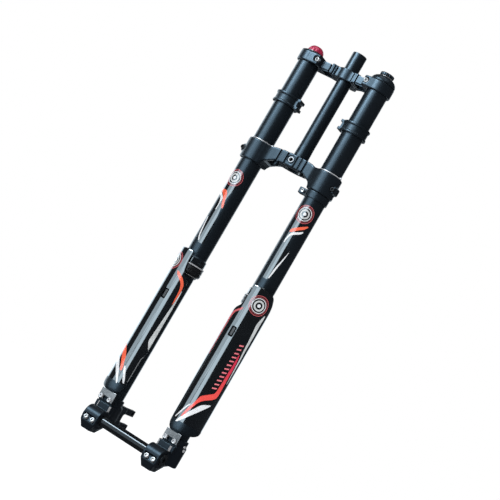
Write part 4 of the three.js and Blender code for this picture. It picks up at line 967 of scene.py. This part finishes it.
stripe("right_tube_film", LX, [(-75, -90, -75, -60), (-79, -112, -79, -40), (-88, -124, -88, -29), (-99, -126, -99, -28), (-112, -117, -112, -37), (-124, -110, -124, -47), (-133.5, -107, -133.5, -70), (-156, -104, -156, -68), (-166, -104, -166, -62), (-169, -104, -169, -50), (-182, -105, -182, -52), (-195, -106, -195, -57), (-210, -108, -210, -67), (-221, -107, -221, -71), (-226, -102, -226, -76)], 20.99, W, "film", 0.12)
for nm, X, a0, z0, R, body, sl, sc in (("left_tube", -LX, -98.5, -88.5, FT, "uppers", TS, 0.95), ("right_tube", LX, -75.5, -91.5, FT, "uppers", TS, 0.97),
                                       ("right_guard", LX, -50.9, -274.7, 30.85, "lowers", GS, 1.04), ("left_guard", -LX, -131.0, -273.5, 30.85, "lowers", GS, 1.0)):
    ringlet(nm + "_ring_outer", X, a0, z0, 16.9 * sc, 17.9 * sc, R, body, "pink")
    ringlet(nm + "_ring_inner", X, a0, z0, 14.4 * sc, 15.0 * sc, R, body, "pink")
    ringlet(nm + "_ring_white", X, a0, z0, 12.0 * sc, 13.2 * sc, R, body, "white")
    ringlet(nm + "_ring_mid", X, a0, z0, 6.2 * sc, 9.4 * sc, R, body, "silver")
    ringlet(nm + "_ring_dot", X, a0, z0, 0, 3.0 * sc, R, body, "white")

G = guard_radius
stripe("left_guard_stripe_orange", -LX, [(-289.5, -94.7, -289.6, -86.2), (-293.2, -90.3, -293.3, -75.8), (-296.9, -84.7, -296.9, -65.5), (-300.6, -75.7, -300.6, -58.8), (-304.2, -67.2, -304.2, -53.7), (-307.8, -61.1, -307.8, -49.6), (-313.3, -56.4, -313.2, -46.8), (-318.7, -53.7, -318.7, -46.1), (-327.8, -52.3, -327.8, -45.9), (-336.8, -51.5, -336.8, -46.9), (-347.7, -50.5, -347.7, -48.9)], G, "lowers", "orange")
stripe("left_guard_wedge_white", -LX, [(-318.7, -44.7, -318.7, -43), (-336.8, -46.2, -336.8, -41.8), (-354.9, -48.4, -354.9, -41), (-373, -50.7, -373, -40.8), (-391.1, -52.6, -391.1, -40.8), (-409.1, -54.9, -409.1, -40.8), (-423.5, -56.5, -423.6, -40.8), (-428.9, -54.5, -429, -40.8), (-434.3, -49.7, -434.4, -40.8), (-440.5, -43.5, -440.6, -40.8)], G, "lowers", "silver")
stripe("left_guard_line_grey", -LX, [(-455.9, -44.3, -455.9, -42.4), (-459.5, -47.0, -459.5, -44.8), (-463.1, -48.5, -463.1, -46.3), (-481, -49.0, -481, -46.8), (-509.7, -49.0, -509.7, -47.2)], G, "lowers", "grey")
stripe("left_guard_stripe_low", -LX, [(-451.2, -142.6, -451.1, -133.2), (-458.4, -135.5, -458.1, -116.6), (-463.7, -131.8, -463.4, -108.4), (-472.6, -119.6, -472.2, -98.3), (-481.4, -108.2, -481.2, -92.9), (-490.2, -99, -490.1, -87.1), (-497.3, -92.4, -497.2, -87)], G, "lowers", "orange")
stripe("left_guard_stripe_white", -LX, [(-478.4, -137.7, -478.1, -126.8), (-485.5, -134.7, -485.1, -113.4), (-492.5, -122.7, -492.1, -103.4), (-499.4, -110.6, -499.1, -94.8), (-508.1, -96.7, -508, -86.2), (-515.2, -86.9, -515.1, -80.4), (-520.5, -81.1, -520.4, -77.6)], G, "lowers", "white")
stripe("left_guard_stripe_thin", -LX, [(-486.5, -85.3, -486.4, -81.6), (-493.6, -81.6, -493.5, -72.9), (-500.7, -74.6, -500.7, -66.1), (-507.9, -68.8, -507.8, -60.1), (-515, -61, -515, -56)], G, "lowers", "white")
stripe("right_guard_line_rose", LX, [(-290.4, -98.8, -290.5, -94.9), (-293.9, -104.1, -294, -95.7), (-297.3, -113.5, -297.5, -100.9), (-300.7, -121.1, -300.9, -109.6), (-304.1, -127.7, -304.3, -116.1), (-309.4, -132, -309.6, -120.6), (-316.5, -133.9, -316.6, -123.1), (-328.9, -132.1, -329, -124.5), (-355.5, -130.5, -355.5, -126), (-390.8, -129.9, -390.8, -126.8)], G, "lowers", "pink")
stripe("right_guard_wedge_white", LX, [(-284.9, -11.9, -284.8, -6.6), (-302.7, -23.6, -302.5, -7.4), (-320.4, -21.5, -320.2, -6.4), (-338, -18.4, -337.9, -5.9), (-355.6, -16.1, -355.6, -6.1), (-373.2, -12.1, -373.2, -4.4), (-390.8, -9.5, -390.8, -3.2), (-408.4, -7.3, -408.4, -2.7), (-422.5, -5.6, -422.5, -2.9)], G, "lowers", "silver")
stripe("right_guard_stripe_red", LX, [(-366.2, -24, -366.2, -21.8), (-380.2, -25, -380.2, -15.8), (-394.3, -25.9, -394.3, -13.9), (-408.3, -26.8, -408.4, -14), (-425.8, -27.8, -425.9, -13.1), (-439.8, -29.1, -439.9, -12.7), (-446.8, -32.2, -447, -12.8), (-450.2, -39.7, -450.4, -13.9), (-453.6, -48.4, -453.9, -17.4), (-457.1, -56.7, -457.3, -24.2), (-460.6, -64.8, -460.7, -34.2), (-464, -69.7, -464.1, -45), (-467.5, -72, -467.5, -53.4), (-471, -73.6, -471, -60), (-474.5, -75.3, -474.5, -64.8), (-478, -77.3, -478, -68.1), (-483.2, -80.6, -483.2, -71.4), (-488.5, -84.7, -488.4, -75.3), (-495.5, -89, -495.4, -80.3), (-504.2, -92.6, -504.1, -85.5), (-509.5, -94.1, -509.4, -90.5)], G, "lowers", "redprint")
stripe("right_guard_stripe_white", LX, [(-468.7, -24.7, -468.7, -19.4), (-472.8, -43.3, -473, -25.2), (-476.2, -52.5, -476.4, -30.5), (-481.4, -60, -481.6, -38.8), (-488.4, -68.1, -488.4, -48.5), (-495.4, -76.3, -495.3, -58.4), (-502.4, -83.7, -502.3, -68.2), (-509.4, -91.9, -509.3, -78), (-516.5, -99.5, -516.3, -88.3), (-521.8, -103.7, -521.7, -97.2)], G, "lowers", "white")
stripe("right_guard_stripe_thin", LX, [(-483.3, -88.2, -483.3, -84.7), (-492.1, -97.5, -492.1, -92.6), (-499.2, -103.6, -499.1, -98.3), (-506.3, -108.9, -506.2, -103.6), (-515.1, -115.8, -515, -111.7)], G, "lowers", "white")
for i in range(12):
    f, u, v = i / 11.0, np.linspace(-0.5, 0.5, 9)[None, :], np.linspace(0.5, -0.5, 3)[:, None]
    film_grid("right_guard_bar_%d" % (i + 1), LX, -33.6 - 8.6 * f + 16.0 * u + 0 * v, -351.0 - 88.0 * f + 2.6 * v + 2.4 * u, G, "lowers", "rose", 0.14)

# ------------------------------------------------------------------ finishes for the CAD pieces that stay as they are
HIDDEN = {"oil_seal": "rubber", "lower_bushing": "bronze", "upper_bushing": "bronze", "damper_rod": "steel", "rebound_adjuster_rod": "alloy", "damper_piston": "bronze",
          "damper_cartridge": "alloy", "cartridge_head": "alloy", "topout_bumper": "rubber", "preload_spacer": "alloy", "spring_support": "alloy"}
for name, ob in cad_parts.items():
    key = next((m for h, m in HIDDEN.items() if name.endswith(h)), "satin")
    for s_ in ob.material_slots:
        s_.material = M[key]

# ------------------------------------------------------------------ floor, light
def stage_disc():
    me = bpy.data.meshes.new("floor")
    rings, seg_ = [0.0, 0.3, 0.6, 1.0, 1.5, 2.2], 96
    V = [(0, 0, 0)]
    for r_ in rings[1:]:
        V += [(r_ * math.cos(2 * math.pi * j / seg_), r_ * math.sin(2 * math.pi * j / seg_), 0) for j in range(seg_)]
    F = [(0, 1 + j, 1 + (j + 1) % seg_) for j in range(seg_)]
    for i in range(len(rings) - 2):
        a, b = 1 + i * seg_, 1 + (i + 1) * seg_
        F += [(a + j, b + j, b + (j + 1) % seg_, a + (j + 1) % seg_) for j in range(seg_)]
    me.from_pydata(V, [], F)
    ob = bpy.data.objects.new("floor", me)
    ob.location = (0, 0, -0.70)
    bpy.context.scene.collection.objects.link(ob)
    m = bpy.data.materials.new("floor_pale")
    m.use_nodes = True
    nt = m.node_tree
    b = next(n for n in nt.nodes if n.type == "BSDF_PRINCIPLED")
    out = next(n for n in nt.nodes if n.type == "OUTPUT_MATERIAL")
    b.inputs["Base Color"].default_value = (0.90, 0.90, 0.90, 1)
    b.inputs["Roughness"].default_value = 0.9
    b.inputs["Specular IOR Level"].default_value = 0.0
    b.inputs["Emission Color"].default_value = (1, 1, 1, 1)
    b.inputs["Emission Strength"].default_value = 0.22
    tc = nt.nodes.new("ShaderNodeTexCoord")
    ln = nt.nodes.new("ShaderNodeVectorMath")
    ln.operation = "LENGTH"
    nt.links.new(tc.outputs["Object"], ln.inputs[0])
    mr = nt.nodes.new("ShaderNodeMapRange")
    mr.interpolation_type = "SMOOTHSTEP"
    mr.inputs["From Min"].default_value = 0.7
    mr.inputs["From Max"].default_value = 2.1
    nt.links.new(ln.outputs["Value"], mr.inputs["Value"])
    tr = nt.nodes.new("ShaderNodeBsdfTransparent")
    mx = nt.nodes.new("ShaderNodeMixShader")
    nt.links.new(mr.outputs["Result"], mx.inputs[0])
    nt.links.new(b.outputs[0], mx.inputs[1])
    nt.links.new(tr.outputs[0], mx.inputs[2])
    nt.links.new(mx.outputs[0], out.inputs["Surface"])
    me.materials.append(m)
    ob.visible_glossy = False
    ob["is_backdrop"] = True


stage_disc()

world = bpy.data.worlds.new("studio")
bpy.context.scene.world = world
world.use_nodes = True
nt = world.node_tree
nt.nodes.clear()
out = nt.nodes.new("ShaderNodeOutputWorld")
lp = nt.nodes.new("ShaderNodeLightPath")


def sky(colour, strength):
    n = nt.nodes.new("ShaderNodeBackground")
    n.inputs["Color"].default_value = (*colour, 1)
    n.inputs["Strength"].default_value = strength
    return n


mx1, mx2 = nt.nodes.new("ShaderNodeMixShader"), nt.nodes.new("ShaderNodeMixShader")
nt.links.new(lp.outputs["Is Glossy Ray"], mx1.inputs[0])
nt.links.new(sky((0.96, 0.98, 1.0), 0.85).outputs[0], mx1.inputs[1])
nt.links.new(sky((0.75, 0.85, 1.0), 0.07).outputs[0], mx1.inputs[2])
nt.links.new(lp.outputs["Is Camera Ray"], mx2.inputs[0])
nt.links.new(mx1.outputs[0], mx2.inputs[1])
nt.links.new(sky((1, 1, 1), 1.0).outputs[0], mx2.inputs[2])
nt.links.new(mx2.outputs[0], out.inputs["Surface"])
world.cycles.sampling_method = "NONE"


def softbox(name, theta, dist, width, height, zc, radiance, colour, glossy=True, diffuse=True, lift=None):
    """An upright panel at theta degrees from the camera's side, measured towards its left."""
    t_ = math.radians(theta)
    flat_back, flat_side = Vector((math.sin(PSI), -math.cos(PSI), 0)), Vector((math.cos(PSI), math.sin(PSI), 0))
    d = flat_back * math.cos(t_) - flat_side * math.sin(t_)
    ld = bpy.data.lights.new(name, "AREA")
    ld.shape, ld.size, ld.size_y = "RECTANGLE", width, height
    ld.energy = radiance * math.pi * width * height
    ld.color = colour
    ob = bpy.data.objects.new(name, ld)
    bpy.context.scene.collection.objects.link(ob)
    ob.location = Vector((0, LY * MM, 0)) + d * dist + Vector((0, 0, zc))
    look = lift if lift is not None else Vector((0, LY * MM, zc))
    ob.rotation_mode = "QUATERNION"
    ob.rotation_quaternion = (look - ob.location).to_track_quat("-Z", "Y")
    ob.visible_camera = False
    ob.visible_glossy = glossy
    ob.visible_diffuse = diffuse
    return ob


COOL = (0.80, 0.92, 1.0)
softbox("key_panel_near", 33.5, 1.8, 0.76, 2.6, -0.15, 5.6, COOL, True, False)
softbox("key_panel_far", 60, 1.8, 0.98, 2.6, -0.15, 3.5, COOL, True, False)
softbox("rear_left_panel", 145, 1.9, 1.5, 2.6, -0.15, 2.6, COOL, True, False)
softbox("rear_right_panel", -160, 1.9, 0.9, 2.6, -0.15, 1.4, COOL, True, False)
ld = bpy.data.lights.new("high_strip", "AREA")
ld.shape, ld.size, ld.size_y = "RECTANGLE", 1.2, 0.9
ld.energy = 62.0 * math.pi * ld.size * ld.size_y
ld.color = COOL
strip = bpy.data.objects.new("high_strip", ld)
bpy.context.scene.collection.objects.link(strip)
reach = Vector((-0.46, -0.64, 0.615)) * 3.0
off_axis = -Vector((0, reach.y, reach.z)).normalized()
strip.matrix_world = Matrix.Translation(Vector((0, AXY * MM, AXZ * MM)) + reach) @ Matrix((Vector((1, 0, 0)), (-off_axis).cross(Vector((1, 0, 0))), -off_axis)).transposed().to_4x4()
strip.visible_camera, strip.visible_diffuse = False, False
softbox("fill_left", 60, 2.2, 1.6, 1.6, 0.9, 2.0, (1, 1, 1), False, True, Vector((0, 0, -0.2)))
softbox("fill_right", -50, 2.2, 1.6, 1.6, 0.9, 1.0, (1, 1, 1), False, True, Vector((0, 0, -0.2)))
softbox("top_panel", 40, 0.3, 1.5, 0.45, 1.7, 5.0, (0.9, 0.96, 1), True, True, Vector((0, 0, 0)))

sc = bpy.context.scene
sc.view_settings.view_transform = "Standard"
sc.view_settings.look = "None"
sc.view_settings.exposure = 0.0
sc.view_settings.gamma = 1.0

bpy.context.view_layer.update()
lo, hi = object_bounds()
